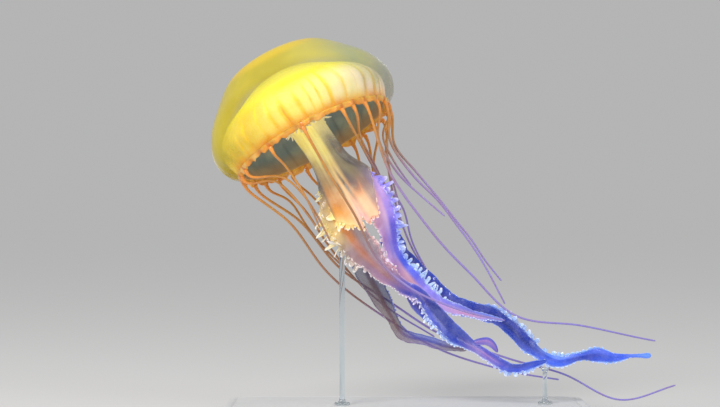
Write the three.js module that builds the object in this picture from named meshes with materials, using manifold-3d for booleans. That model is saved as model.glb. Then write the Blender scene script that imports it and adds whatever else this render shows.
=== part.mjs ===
// A still, life-size sea nettle: a golden bell banked in a current, its mouth tube, four frilled
// oral arms and twenty-four tentacles swept downstream, held over a flat base by two short rods.
// Millimetres and degrees. +X is downstream, +Y is behind the animal, +Z is up. The origin is the
// centre of the base's underside.
import * as THREE from 'three';
import { mergeVertices } from 'three/addons/utils/BufferGeometryUtils.js';
import Module from 'manifold-3d';

const wasm = await Module();
wasm.setup();

const DEG = Math.PI / 180;
const GAP = 0.3; // between pieces that touch

// The bell, in its own frame: the rim plane is z = 0 and the crown is at +z.
const RIM_CENTRE = [-97.5, 0, 288.5];
const BELL_LEAN = 28; // the crown leans upstream, away from the arms
const BELL_NOD = 12; // the mouth of the bell turns a little to the front
const BELL_RADIUS = 101.5;
const BELL_HEIGHT = 102;
const RIM_RADIUS = 86.5;
const LINING_THICKNESS = 3.2;
const BELL_SEGMENTS = 36;
const LAPPETS = 32;
const LAPPET_DEPTH = 2.4;
const MARGIN_BOTTOM = -3; // of the band between two lappets

// The current: one line that leaves the middle of the rim along the bell's axis and levels out.
const DIVE = 62; // below level, where it leaves the bell
const DIVE_END = 1;
const BEND_FROM = 70; // distances along the current
const BEND_TO = 415;

// The mouth tube hangs down the current from the roof of the bell.
const MOUTH_TUBE = {
  from: -70.5,
  to: 58,
  width: [26, 38, 42, 35, 42, 58],
  drift: [0, 0, 0, 2.5, 4, 6],
  thickness: 0.78, // front to back, of its width
  fluting: 0.1,
};

// Each oral arm: drift is its distance above the middle of the current, and depth its distance
// behind it, at even steps from one end to the other; turn is how far the ribbon is rolled.
const ARMS = {
  arm_front_right: {
    from: 58,
    to: 296,
    drift: [21, 32, 26, 12, 10, 13, 20, 25],
    width: [24, 36, 30, 17, 16, 16, 14, 9],
    depth: [-21, -15, -5, -7],
    turn: [0, 5, 15, 35, 42, 50, 55, 55],
    fold: -0.4,
  },
  arm_back_right: {
    from: 58,
    to: 462,
    drift: [14, 24, 25, 26, 24, 27, 29, 24, 0, 3, 4, 5],
    width: [20, 22, 22, 24, 23, 21, 20, 23, 20, 17, 15, 8],
    depth: [3, 14, 12, 4, 2],
    turn: [0, 25, 40, 25, -30, -30, -20, 15, 50, -35, 50, 40],
    fold: 0.4,
  },
  arm_front_left: {
    from: 58,
    to: 352,
    drift: [-12, -26, -23, -10, 1, -1, -8, -10, -19, -4],
    width: [24, 32, 26, 18, 18, 22, 22, 18, 18, 10],
    depth: [-21, -22, -20, -6],
    turn: [0, 5, 28, 48, 42, 15, 10, 35, -30, -40],
    fold: -0.4,
  },
  arm_back_left: {
    from: 58,
    to: 272,
    drift: [-8, -18, -21, -19, -32, -24, -13],
    width: [20, 20, 22, 22, 18, 16, 10],
    depth: [3, 12, 15, 12],
    turn: [0, 25, 35, 15, 50, 55, 55],
    fold: 0.4,
  },
};
const ARM_LENGTHS = 3;
const ARM_STATIONS = 12; // rings in one length
const LEAF_POINTS = 2; // from the midrib to an edge
const ARM_ROOT_THICKNESS = 9;
const ARM_ROOT_LENGTH = 22; // over which it thins
const ARM_THICKNESS = 2.4;
const ARM_EDGE = 0.6; // edge thickness, of the middle's
const RUFFLE = 0.2; // of the half width
const RUFFLE_LENGTH = 32;

// Each tentacle: clock is where it leaves the rim, in degrees from the downstream side round by the
// front; reach is how far down the current it ends; drift is its distance above the middle of the
// current at even steps from rim to tip; depth is where the tip lies, behind the middle or before.
const TENTACLES = [
  { clock: 15, reach: 294, depth: 16, drift: [70, 74, 85, 86, 82, 70, 45] },
  { clock: 28, reach: 146, depth: 0, drift: [60, 61, 72, 81] },
  { clock: 42, reach: 468, depth: 12, drift: [54, 60, 58, 37, 34, 20] },
  { clock: 53, reach: 130, depth: 20, drift: [44, 44, 42, 38] },
  { clock: 62, reach: 190, depth: 36, drift: [41, 43, 49, 38, 30] },
  { clock: 92, reach: 296, depth: -26, drift: [-2, 1, -2, 7, 20, 30] },
  { clock: 119, reach: 84, depth: -40, drift: [-38, -35, -35, -37] },
  { clock: 152, reach: 100, depth: -36, drift: [-47, -36, -33, -34] },
  { clock: 165, reach: 86, depth: -30, drift: [-56, -46, -42, -39] },
  { clock: 182, reach: 370, depth: 30, drift: [-64, -55, -38, -28, -24, -25] },
  { clock: 205, reach: 492, depth: 24, drift: [-54, -41, -20, -13, -10, -18, -44, -28] },
  { clock: 218, reach: 138, depth: 36, drift: [-54, -50, -44, -36] },
  { clock: 231, reach: 240, depth: 38, drift: [-44, -40, -34, -26, -20] },
  { clock: 243, reach: 120, depth: 44, drift: [-30, -24, -20] },
  { clock: 255, reach: 200, depth: 34, drift: [-14, -14, -12, -2] },
  { clock: 268, reach: 110, depth: 46, drift: [0, 0, 4] },
  { clock: 281, reach: 250, depth: 36, drift: [14, 18, 22, 26] },
  { clock: 294, reach: 190, depth: 48, drift: [24, 22, 26] },
  { clock: 306, reach: 300, depth: 30, drift: [36, 27, 26, 28, 28] },
  { clock: 318, reach: 130, depth: 50, drift: [44, 38, 32] },
  { clock: 330, reach: 220, depth: 40, drift: [56, 42, 32, 28] },
  { clock: 341, reach: 110, depth: 34, drift: [64, 54, 46] },
  { clock: 352, reach: 280, depth: 28, drift: [73, 80, 87, 89, 87, 78, 66] },
  { clock: 4, reach: 90, depth: 8, drift: [66, 64, 68] },
];
const LONG_TENTACLE = 140; // past this reach a tentacle is in two lengths
const TENTACLE_ROOT = 3.6; // diameters
const TENTACLE_MIDDLE = 2.8;
const TENTACLE_TIP = 2.2;
const TENTACLE_SIDES = 5;
const TENTACLE_STATIONS = 9; // rings in one length
const ROOT_DROP = 6; // it leaves the rim straight, for this far

// The display stand.
const BASE = { length: 380, width: 170, height: 12, corner: 24, bevel: 1.5 };
const ROD_BELL = { x: -68, y: -10, radius: 3, top: 252 }; // ends in a socket in the mouth tube
const ROD_ARMS = { x: 145, y: 1, radius: 2.5, top: 50.5 }; // props the longest arm from below
const ROD_SIDES = 14;

const finish = (colour, roughness) =>
  new THREE.MeshStandardMaterial({ color: colour, roughness, metalness: 0 });
const JELLY = finish(0xc8b850, 0.25);
const LINING = finish(0xfff04a, 0.35);
const MARGIN = finish(0xe0901e, 0.4);
const TUBE = finish(0xe8dc9a, 0.35);
const ARM = finish(0x8aa0e8, 0.35);
const TENTACLE = finish(0xb9885a, 0.35);
const STAND = finish(0xe4e6e8, 0.3);
const ROD = finish(0xe6f0f5, 0.08);

const object = new THREE.Group();
const bell = new THREE.Group();
bell.position.set(...RIM_CENTRE);
bell.rotation.set(-BELL_NOD * DEG, -BELL_LEAN * DEG, 0, 'YXZ');
bell.updateMatrixWorld();
object.add(bell);

function addMesh(parent, name, geometry, material) {
  const mesh = new THREE.Mesh(geometry, material);
  mesh.name = name;
  parent.add(mesh);
  return mesh;
}

// Even steps from 0 to 1.
const steps = (count) => Array.from({ length: count + 1 }, (_, i) => i / count);

// Value of an evenly spaced list at t from 0 to 1, on a smooth curve through its values.
function along(values, t) {
  const last = values.length - 1;
  const place = Math.min(Math.max(t, 0), 1) * last;
  const i = Math.min(Math.floor(place), last - 1);
  const f = place - i;
  const a = values[i];
  const b = values[i + 1];
  const before = i > 0 ? values[i - 1] : 2 * a - b;
  const after = i + 2 <= last ? values[i + 2] : 2 * b - a;
  const slopeA = (b - before) / 2;
  const slopeB = (after - a) / 2;
  const f2 = f * f;
  const f3 = f2 * f;
  return a * (2 * f3 - 3 * f2 + 1) + slopeA * (f3 - 2 * f2 + f)
    + b * (3 * f2 - 2 * f3) + slopeB * (f3 - f2);
}

// Signed volume inside a list of faces: negative when they point inwards.
function signedVolume(points, faces) {
  let volume = 0;
  for (let i = 0; i < faces.length; i += 3) {
    const [a, b, c] = [points[faces[i]], points[faces[i + 1]], points[faces[i + 2]]];
    volume += a.dot(b.clone().cross(c)) / 6;
  }
  return volume;
}

// A geometry from points and faces, turned right side out.
function solid(points, faces) {
  if (signedVolume(points, faces) < 0) {
    faces.reverse();
  }
  const geometry = new THREE.BufferGeometry().setFromPoints(points);
  geometry.setIndex(faces);
  geometry.computeVertexNormals();
  return geometry;
}

// The four-sided faces between two rings of the same number of points, as triangles.
function bridge(first, second, count) {
  const faces = [];
  for (let i = 0; i < count; i += 1) {
    const next = (i + 1) % count;
    faces.push(first + i, first + next, second + next, first + i, second + next, second + i);
  }
  return faces;
}

// The triangles that fill a flat ring, zigzagging from its ends to its middle.
function fill(start, count, flip) {
  const faces = [];
  let a = 0;
  let b = count - 1;
  while (b - a > 1) {
    faces.push([a, a + 1, b]);
    a += 1;
    if (b - a > 1) {
      faces.push([a, b - 1, b]);
      b -= 1;
    }
  }
  return faces.flatMap((face) => (flip ? face.reverse() : face).map((i) => start + i));
}

// Closes a stack of rings, each with the same number of points, into one solid.
function loft(rings) {
  const count = rings[0].length;
  const faces = rings.slice(1).flatMap((_, k) => bridge(k * count, (k + 1) * count, count));
  const last = (rings.length - 1) * count;
  return solid(rings.flat(), [...faces, ...fill(0, count, true), ...fill(last, count, false)]);
}

// ---------------------------------------------------------------- the current
const smoothstep = (from, to, x) => THREE.MathUtils.smoothstep(x, from, to);
const dive = (u) => (DIVE - (DIVE - DIVE_END) * smoothstep(BEND_FROM, BEND_TO, u)) * DEG;
const downstream = (u) => new THREE.Vector3(Math.cos(dive(u)), 0, -Math.sin(dive(u)));
const upward = (u) => new THREE.Vector3(Math.sin(dive(u)), 0, Math.cos(dive(u)));

// Points down the middle of the current, every millimetre from the rim.
const CURRENT_END = 640;
const middle = [new THREE.Vector3(...RIM_CENTRE)];
for (let u = 0; u < CURRENT_END; u += 1) {
  middle.push(middle[u].clone().add(downstream(u + 0.5)));
}

// The point at distance u down the current, drift above it and depth behind it.
function inCurrent(u, drift, depth) {
  const base = Math.min(Math.max(Math.floor(u), 0), CURRENT_END - 1);
  const point = middle[base].clone().addScaledVector(downstream(u), u - base);
  point.addScaledVector(upward(u), drift);
  point.y += depth;
  return point;
}

// The bell's nod carries the tube towards the front; below the rim it straightens again.
const NOD_FADE = 120;
function nodDepth(u) {
  const onAxis = -Math.tan(BELL_NOD * DEG) * u;
  return u < 0 ? onAxis : onAxis * Math.exp(-((u / NOD_FADE) ** 2));
}

// ---------------------------------------------------------------- the bell
function revolve(profile) {
  const geometry = new THREE.LatheGeometry(profile.reverse(), BELL_SEGMENTS);
  geometry.rotateX(Math.PI / 2);
  return geometry;
}

const point2 = (r, h) => new THREE.Vector2(r, h);

// The outside of the bell, from the crown to the rim: a flattened crown, round shoulders, and a
// skirt that curls in.
const OUTSIDE = new THREE.SplineCurve([
  point2(0, BELL_HEIGHT),
  point2(0.31 * BELL_RADIUS, 0.985 * BELL_HEIGHT),
  point2(0.54 * BELL_RADIUS, 0.9 * BELL_HEIGHT),
  point2(0.77 * BELL_RADIUS, 0.71 * BELL_HEIGHT),
  point2(0.93 * BELL_RADIUS, 0.5 * BELL_HEIGHT),
  point2(BELL_RADIUS, 0.29 * BELL_HEIGHT),
  point2(0.97 * BELL_RADIUS, 0.12 * BELL_HEIGHT),
  point2(0.88 * BELL_RADIUS, 0.01 * BELL_HEIGHT),
]);

// The face between the clear jelly and the lining under it, from the crown to the rim.
const INSIDE = new THREE.SplineCurve([
  point2(0, 0.76 * BELL_HEIGHT),
  point2(0.3 * BELL_RADIUS, 0.745 * BELL_HEIGHT),
  point2(0.6 * BELL_RADIUS, 0.58 * BELL_HEIGHT),
  point2(0.84 * BELL_RADIUS, 0.34 * BELL_HEIGHT),
  point2(0.905 * BELL_RADIUS, 0.15 * BELL_HEIGHT),
  point2(RIM_RADIUS, 0.01 * BELL_HEIGHT),
]);

// The same curve moved square to itself, towards the inside of the bell.
function inset(curve, distance, t) {
  const p = curve.getPoint(t);
  const tangent = curve.getTangent(t);
  return point2(Math.max(p.x + tangent.y * distance, 0), p.y - tangent.x * distance);
}

function domeProfile() {
  const outer = steps(12).map((t) => OUTSIDE.getPoint(t));
  const inner = steps(7).map((t) => INSIDE.getPoint(t)).reverse();
  return [...outer, ...inner];
}

function liningProfile() {
  const outer = steps(7).map((t) => inset(INSIDE, GAP, t));
  const inner = steps(7).map((t) => inset(INSIDE, LINING_THICKNESS, t)).reverse();
  return [...outer, ...inner];
}

// A band round the rim whose lower edge is cut into lappets.
function marginBand() {
  const top = 0.01 * BELL_HEIGHT - GAP - 0.4;
  const inner = RIM_RADIUS - LINING_THICKNESS;
  const outer = 0.88 * BELL_RADIUS;
  const count = LAPPETS * 2;
  const points = [];
  const faces = [];
  for (let i = 0; i < count; i += 1) {
    const angle = (i / count) * 2 * Math.PI;
    const bottom = MARGIN_BOTTOM - (i % 2 ? LAPPET_DEPTH : 0);
    const section = [[inner, top], [outer, top], [outer - 1, bottom], [inner + 1, bottom]];
    for (const [r, h] of section) {
      points.push(new THREE.Vector3(r * Math.cos(angle), r * Math.sin(angle), h));
    }
    faces.push(...bridge(i * 4, ((i + 1) % count) * 4, 4));
  }
  return solid(points, faces);
}

addMesh(bell, 'bell_dome', revolve(domeProfile()), JELLY);
addMesh(bell, 'bell_lining', revolve(liningProfile()), LINING);
addMesh(bell, 'bell_margin', marginBand(), MARGIN);

// ---------------------------------------------------------------- the mouth tube
// A fluted column: four corners that run on as the arms, two to the front and two behind.
function mouthTube() {
  const { from, to, width, drift, thickness, fluting } = MOUTH_TUBE;
  const sides = 24;
  return loft(steps(12).map((t) => {
    const u = from + (to - from) * t;
    const half = along(width, t) / 2;
    return Array.from({ length: sides }, (_, i) => {
      const angle = (i / sides) * 2 * Math.PI;
      const flute = 1 - fluting * (1 + Math.cos(4 * angle)) * smoothstep(0, 0.4, t);
      const across = Math.cos(angle) * half * flute + along(drift, t);
      const behind = Math.sin(angle) * half * thickness * flute + nodDepth(u);
      return inCurrent(u, across, behind);
    });
  }));
}

// A column from one height to another, upright.
function column({ x, y, radius }, bottom, top) {
  const geometry = new THREE.CylinderGeometry(radius, radius, top - bottom, ROD_SIDES);
  geometry.rotateX(Math.PI / 2);
  geometry.translate(x, y, (bottom + top) / 2);
  return geometry;
}

function toManifold(geometry) {
  const bare = geometry.clone();
  bare.deleteAttribute('normal');
  bare.deleteAttribute('uv');
  const merged = mergeVertices(bare);
  return new wasm.Manifold(new wasm.Mesh({
    numProp: 3,
    vertProperties: merged.attributes.position.array,
    triVerts: new Uint32Array(merged.index.array),
  }));
}

// One geometry with another cut out of it.
function cut(geometry, tool) {
  const { vertProperties, triVerts } = toManifold(geometry).subtract(toManifold(tool)).getMesh();
  const result = new THREE.BufferGeometry();
  result.setAttribute('position', new THREE.Float32BufferAttribute(vertProperties, 3));
  result.setIndex(Array.from(triVerts));
  result.computeVertexNormals();
  return result;
}

const socket = column({ ...ROD_BELL, radius: ROD_BELL.radius + GAP }, BASE.height, ROD_BELL.top + GAP);
addMesh(object, 'manubrium', cut(mouthTube(), socket), TUBE);

// ---------------------------------------------------------------- the oral arms
// The middle of an arm at t from 0 to 1.
function armMiddle(arm, t) {
  const u = THREE.MathUtils.lerp(arm.from, arm.to, t);
  return inCurrent(u, along(arm.drift, t), along(arm.depth, t));
}

// One length of an arm: a ribbon folded along its midrib, with waved edges, thick and square to the
// current where it leaves the mouth tube.
function armLength(arm, phase, t0, t1) {
  return loft(steps(ARM_STATIONS - 1).map((s) => {
    const t = THREE.MathUtils.lerp(t0, t1, s);
    const u = THREE.MathUtils.lerp(arm.from, arm.to, t);
    const grown = smoothstep(0, ARM_ROOT_LENGTH, u - arm.from);
    const centre = armMiddle(arm, t);
    const tangent = armMiddle(arm, t + 0.01).sub(armMiddle(arm, t - 0.01)).normalize();
    tangent.lerp(downstream(u), 1 - grown).normalize();
    const roll = along(arm.turn, t) * DEG;
    const across = upward(u).multiplyScalar(Math.cos(roll));
    across.y = Math.sin(roll);
    across.addScaledVector(tangent, -across.dot(tangent)).normalize();
    const behind = new THREE.Vector3().crossVectors(across, tangent);
    const half = along(arm.width, t) / 2;
    const thickness = THREE.MathUtils.lerp(ARM_ROOT_THICKNESS, ARM_THICKNESS, grown);
    const back = [];
    const front = [];
    for (let j = -LEAF_POINTS; j <= LEAF_POINTS; j += 1) {
      const leaf = j / LEAF_POINTS;
      const wave = Math.sin((2 * Math.PI * u) / RUFFLE_LENGTH + phase + leaf);
      const lift = grown * half * (arm.fold * Math.abs(leaf) + RUFFLE * leaf * leaf * wave);
      const skin = (thickness / 2) * (1 - (1 - ARM_EDGE) * leaf * leaf);
      const spine = centre.clone().addScaledVector(across, leaf * half);
      back.push(spine.clone().addScaledVector(behind, lift + skin));
      front.push(spine.clone().addScaledVector(behind, lift - skin));
    }
    return [...back, ...front.reverse()];
  }));
}

Object.entries(ARMS).forEach(([name, arm], index) => {
  const joint = GAP / (arm.to - arm.from);
  for (let k = 0; k < ARM_LENGTHS; k += 1) {
    const t0 = k / ARM_LENGTHS + joint;
    const t1 = (k + 1) / ARM_LENGTHS;
    addMesh(object, `${name}_${k + 1}`, armLength(arm, index * 1.7, t0, t1), ARM);
  }
});

// ---------------------------------------------------------------- the tentacles
// The line of one tentacle, straight out of the rim and then down the current to its tip.
function tentacleLine({ clock, reach, depth, drift }) {
  const start = new THREE.Vector3(
    RIM_RADIUS * Math.cos(clock * DEG),
    -RIM_RADIUS * Math.sin(clock * DEG),
    MARGIN_BOTTOM - LAPPET_DEPTH - GAP,
  );
  const rootU = RIM_RADIUS * Math.sin(clock * DEG) * -Math.sin(BELL_NOD * DEG);
  const left = bell.localToWorld(start.clone());
  const dropped = bell.localToWorld(start.clone().setZ(start.z - ROOT_DROP));
  const points = [left, dropped];
  drift.forEach((away, i) => {
    const v = (i + 1) / drift.length;
    const u = THREE.MathUtils.lerp(rootU, reach, v);
    points.push(inCurrent(u, away, THREE.MathUtils.lerp(depth, left.y, (1 - v) ** 2.2)));
  });
  return new THREE.CatmullRomCurve3(points, false, 'centripetal');
}

function tentacleLength(line, t0, t1) {
  const rings = steps(TENTACLE_STATIONS - 1).map((s) => {
    const t = THREE.MathUtils.lerp(t0, t1, s);
    const centre = line.getPointAt(t);
    const tangent = line.getTangentAt(t);
    const side = new THREE.Vector3(0, 1, 0).cross(tangent).normalize();
    const other = new THREE.Vector3().crossVectors(side, tangent);
    const radius = along([TENTACLE_ROOT, TENTACLE_MIDDLE, TENTACLE_TIP], t) / 2;
    return Array.from({ length: TENTACLE_SIDES }, (_, i) => {
      const angle = (i / TENTACLE_SIDES) * 2 * Math.PI;
      return centre.clone().addScaledVector(side, radius * Math.cos(angle))
        .addScaledVector(other, radius * Math.sin(angle));
    });
  });
  return loft(rings);
}

TENTACLES.forEach((tentacle, index) => {
  const line = tentacleLine(tentacle);
  const name = `tentacle_${String(index + 1).padStart(2, '0')}`;
  if (tentacle.reach < LONG_TENTACLE) {
    addMesh(object, name, tentacleLength(line, 0, 1), TENTACLE);
    return;
  }
  const joint = GAP / line.getLength();
  addMesh(object, `${name}_upper`, tentacleLength(line, 0, 0.5 - joint), TENTACLE);
  addMesh(object, `${name}_lower`, tentacleLength(line, 0.5, 1), TENTACLE);
});

// ---------------------------------------------------------------- the stand
function baseSlab() {
  const { length, width, height, corner, bevel } = BASE;
  const x = length / 2 - bevel;
  const y = width / 2 - bevel;
  const outline = new THREE.Shape();
  outline.moveTo(-x + corner, -y);
  outline.lineTo(x - corner, -y);
  outline.absarc(x - corner, -y + corner, corner, -Math.PI / 2, 0);
  outline.lineTo(x, y - corner);
  outline.absarc(x - corner, y - corner, corner, 0, Math.PI / 2);
  outline.lineTo(-x + corner, y);
  outline.absarc(-x + corner, y - corner, corner, Math.PI / 2, Math.PI);
  outline.lineTo(-x, -y + corner);
  outline.absarc(-x + corner, -y + corner, corner, Math.PI, 1.5 * Math.PI);
  const geometry = new THREE.ExtrudeGeometry(outline, {
    depth: height - 2 * bevel,
    bevelThickness: bevel,
    bevelSize: bevel,
    bevelSegments: 1,
    curveSegments: 3,
  });
  geometry.translate(0, 0, bevel);
  return geometry;
}

addMesh(object, 'stand_base', baseSlab(), STAND);
addMesh(object, 'stand_rod_bell', column(ROD_BELL, BASE.height + GAP, ROD_BELL.top), ROD);
addMesh(object, 'stand_rod_arms', column(ROD_ARMS, BASE.height + GAP, ROD_ARMS.top), ROD);

export default object;
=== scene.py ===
"""A life-size sea nettle on a display stand.

The bell comes first, then the mouth tube and the oral arms that hang from it, the tentacles round its
rim, the stand, and last the floor, the lights and the camera. Shapes are worked out in millimetres
and put into Blender in metres.
"""

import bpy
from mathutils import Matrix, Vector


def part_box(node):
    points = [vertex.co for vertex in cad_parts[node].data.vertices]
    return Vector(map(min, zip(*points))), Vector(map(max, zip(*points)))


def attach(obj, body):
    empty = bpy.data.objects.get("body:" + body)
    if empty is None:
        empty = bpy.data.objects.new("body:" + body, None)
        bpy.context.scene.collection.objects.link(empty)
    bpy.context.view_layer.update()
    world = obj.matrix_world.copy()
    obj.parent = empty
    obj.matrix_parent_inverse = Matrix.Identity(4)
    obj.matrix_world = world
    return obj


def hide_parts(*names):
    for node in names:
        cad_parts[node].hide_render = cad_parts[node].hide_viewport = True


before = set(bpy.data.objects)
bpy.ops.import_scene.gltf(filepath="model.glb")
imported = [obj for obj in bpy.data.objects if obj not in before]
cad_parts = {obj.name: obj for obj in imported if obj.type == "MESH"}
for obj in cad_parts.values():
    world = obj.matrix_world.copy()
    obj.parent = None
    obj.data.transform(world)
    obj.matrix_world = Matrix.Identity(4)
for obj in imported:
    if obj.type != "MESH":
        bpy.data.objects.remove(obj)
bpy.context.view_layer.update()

import bpy
import numpy as np

# ------------------------------------------------------------------------------ the jelly of the bell
# The real one is a dome of firm, clear jelly, thick at the crown and thin at the rim, tinted by what
# lies under it. It's a closed surface of revolution, banked the way the animal swims, and the lining
# shows through it.
RIM_CENTRE = np.array([-97.5, 0, 288.5])
BELL_LEAN = np.radians(28)
BELL_NOD = np.radians(12)
BELL_RADIUS = 101.5
BELL_HEIGHT = 102
RIM_RADIUS = 86.5

# Radius and height, as shares of the bell's, from the crown to the rim.
OUTSIDE = [(0, .96), (.315, .965), (.55, .903), (.77, .705), (.94, .505), (1.02, .295), (.985, .12),
           (.88, .01)]
INSIDE = [(0, .76), (.3, .745), (.6, .585), (.83, .43), (.925, .24), (RIM_RADIUS / BELL_RADIUS, .01)]


def smoothstep(low, high, x):
    """0 below low, 1 above high, and 3t squared less 2t cubed between them."""
    t = np.clip((x - low) / (high - low), 0, 1)
    return t * t * (3 - 2 * t)


def along(values, t):
    """An evenly spaced list read at t from 0 to 1: a cubic between each two values, whose slope at
    a value is half the difference of its neighbours."""
    values = np.asarray(values, float)
    place = np.clip(t, 0, 1) * (len(values) - 1)
    i = np.minimum(place.astype(int), len(values) - 2)
    longer = np.concatenate([2 * values[:1] - values[1:2], values, 2 * values[-1:] - values[-2:-1]])
    before, a, b, after = (longer[i + k] for k in range(4))
    f = (place - i).reshape(place.shape + (1,) * (values.ndim - 1))
    slope_a, slope_b = (b - before) / 2, (after - a) / 2
    return (a * (2 * f**3 - 3 * f**2 + 1) + slope_a * (f**3 - 2 * f**2 + f)
            + b * (3 * f**2 - 2 * f**3) + slope_b * (f**3 - f**2))


def turned(angle, first, second):
    """The matrix that turns the first axis towards the second by an angle."""
    matrix = np.eye(3)
    matrix[[first, second], [first, second]] = np.cos(angle)
    matrix[second, first], matrix[first, second] = np.sin(angle), -np.sin(angle)
    return matrix


BELL_TURN = turned(BELL_LEAN, 0, 2) @ turned(-BELL_NOD, 1, 2)


def from_bell(radius, angle, height):
    """Points given round the bell's own axis, with its rim at height 0, in the model's frame."""
    radius, angle, height = np.broadcast_arrays(radius, angle, height)
    own = np.stack([radius * np.cos(angle), radius * np.sin(angle), height], -1)
    return own @ BELL_TURN.T + RIM_CENTRE


STRIP_STEP = 1.02  # from one patch's strip of the map to the next, in widths of a strip


def skin(name, patches, finish, replaced=(), ring=False):
    """One mesh from closed patches. A patch is a grid of points in millimetres, [along, around], whose
    rows close on themselves, and a dict of marks: arrays of the same size that the material reads by
    name. The first and last rows shrink to a point, or, in a ring, join. Each patch has its own strip
    of the map. A patch whose signed volume is negative has its faces turned round."""
    vertices, faces, maps, marks = [], [], [], {}
    for number, (points, own_marks) in enumerate(patches):
        rows, cols = points.shape[:2]
        start = sum(map(len, vertices))
        body = points if ring else points[1:-1]
        i, j = np.meshgrid(np.arange(len(body) - (not ring)), np.arange(cols), indexing="ij")
        i = np.stack([i, i, i + 1, i + 1], -1).reshape(-1, 4)
        j = np.stack([j, j + 1, j + 1, j], -1).reshape(-1, 4)
        quads = i % len(body) * cols + j % cols
        kinds = [(quads, np.stack([j / cols, (i + (not ring)) / (rows - 1 + ring)], -1))]
        flat = body.reshape(-1, 3)
        if not ring:
            first, turn, last_row = len(flat), np.arange(cols), (rows - 3) * cols
            cap = np.stack([np.full(cols, first), (turn + 1) % cols, turn], -1)
            tail = np.stack([last_row + turn, last_row + (turn + 1) % cols, np.full(cols, first + 1)], -1)
            fan = np.stack([turn + 0.5, turn + 1, turn], -1) / cols
            up = np.tile([0, 1, 1], (cols, 1)) / (rows - 1)
            kinds += [(cap, np.stack([fan, up], -1)),
                      (tail, np.stack([fan[:, [2, 1, 0]], 1 - up[:, [2, 1, 0]]], -1))]
            flat = np.concatenate([flat, points[:1].mean(1), points[-1:].mean(1)])
        triangles = [quads[:, [0, 1, 2]], quads[:, [0, 2, 3]]] + [part for part, _ in kinds[1:]]
        a, b, c = (flat[np.concatenate(triangles)[:, k]] - flat.mean(0) for k in range(3))
        outward = np.einsum("ij,ij->", a, np.cross(b, c)) > 0
        for part, corner in kinds:
            corner = (corner + [number * STRIP_STEP, 0]) / [len(patches) * STRIP_STEP, 1]
            faces += (part + start)[:, ::1 if outward else -1].tolist()
            maps.append(corner[:, ::1 if outward else -1].reshape(-1, 2))
        vertices.append(flat)
        for mark, values in own_marks.items():
            values = np.broadcast_to(values, (rows, cols))
            given = values.ravel() if ring else np.append(values[1:-1], [values[0, 0], values[-1, 0]])
            marks.setdefault(mark, []).append(given)
    mesh = bpy.data.meshes.new(name)
    mesh.from_pydata(np.concatenate(vertices) / 1000, [], faces)
    mesh.polygons.foreach_set("use_smooth", np.ones(len(faces), bool))
    mesh.uv_layers.new(name="OFBake").uv.foreach_set("vector", np.concatenate(maps).ravel())
    for mark, values in marks.items():
        mesh.attributes.new(mark, "FLOAT", "POINT").data.foreach_set("value", np.concatenate(values))
    mesh.materials.append(finish)
    piece = bpy.data.objects.new(name, mesh)
    bpy.context.scene.collection.objects.link(piece)
    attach(piece, "root")
    if replaced:
        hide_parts(*replaced)


def round_angles(count, start=0):
    """So many angles evenly round a circle, the first one this share of a step from zero."""
    return (np.arange(count) + start) / count * 2 * np.pi


def revolved(profile, columns):
    """A profile of radius and height turned round the bell's axis, and the angle of each column."""
    return profile[:, None, 0], profile[:, None, 1], round_angles(columns)[None]


def colour(red, green, blue):
    """A screen colour, each part from 0 to 255, as the linear colour that a shader takes."""
    part = np.array([red, green, blue]) / 255
    return (*np.where(part < 0.04045, part / 12.92, ((part + 0.055) / 1.055) ** 2.4), 1)


class Nodes:
    """The nodes of a group or a material under construction, and short ways to add one. Its place is
    where noise is read. A colour is given as on a screen, by three parts from 0 to 255."""

    def __init__(self, tree):
        self.tree = tree
        self.place = None

    def node(self, kind, inputs=(), **settings):
        """A new node with these settings, and with these inputs: pairs of a socket and its value."""
        made = self.tree.nodes.new(kind)
        for key, value in settings.items():
            setattr(made, key, value)
        for key, value in dict(inputs).items():
            self.join(value, made.inputs[key])
        return made

    def join(self, value, socket):
        """Links an output to the socket, or sets the socket to a number, a vector or a colour."""
        if isinstance(value, bpy.types.NodeSocket):
            self.tree.links.new(value, socket)
        elif socket.type == "RGBA" and len(value) == 3:
            socket.default_value = colour(*value)
        else:
            socket.default_value = value

    def ease(self, value, low, high, bottom=0.0, top=1.0, kind="SMOOTHSTEP"):
        """The value carried from low..high to bottom..top, smoothly, or in a straight line where the
        kind is LINEAR."""
        inputs = enumerate((value, low, high, bottom, top))
        return self.node("ShaderNodeMapRange", inputs, interpolation_type=kind).outputs[0]

    def work(self, operation, *values):
        """One step of arithmetic, by its name in Blender."""
        return self.node("ShaderNodeMath", enumerate(values), operation=operation).outputs[0]

    def times(self, a, b):
        """a times b, for two numbers."""
        return self.work("MULTIPLY", a, b)

    def mix(self, share, a, b):
        """Colour a where the share is 0, colour b where it's 1."""
        return self.node("ShaderNodeMix", {0: share, 6: a, 7: b}, data_type="RGBA").outputs[2]

    def noise(self, scale, detail=3.0, stretch=None):
        """Soft noise from 0 to 1, so many blots to the metre, and fewer where it's stretched."""
        place = self.place
        if stretch:
            place = self.node("ShaderNodeMapping", {0: place, "Scale": stretch}).outputs[0]
        inputs = {"Vector": place, "Scale": scale, "Detail": detail}
        return self.node("ShaderNodeTexNoise", inputs).outputs["Fac"]


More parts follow.
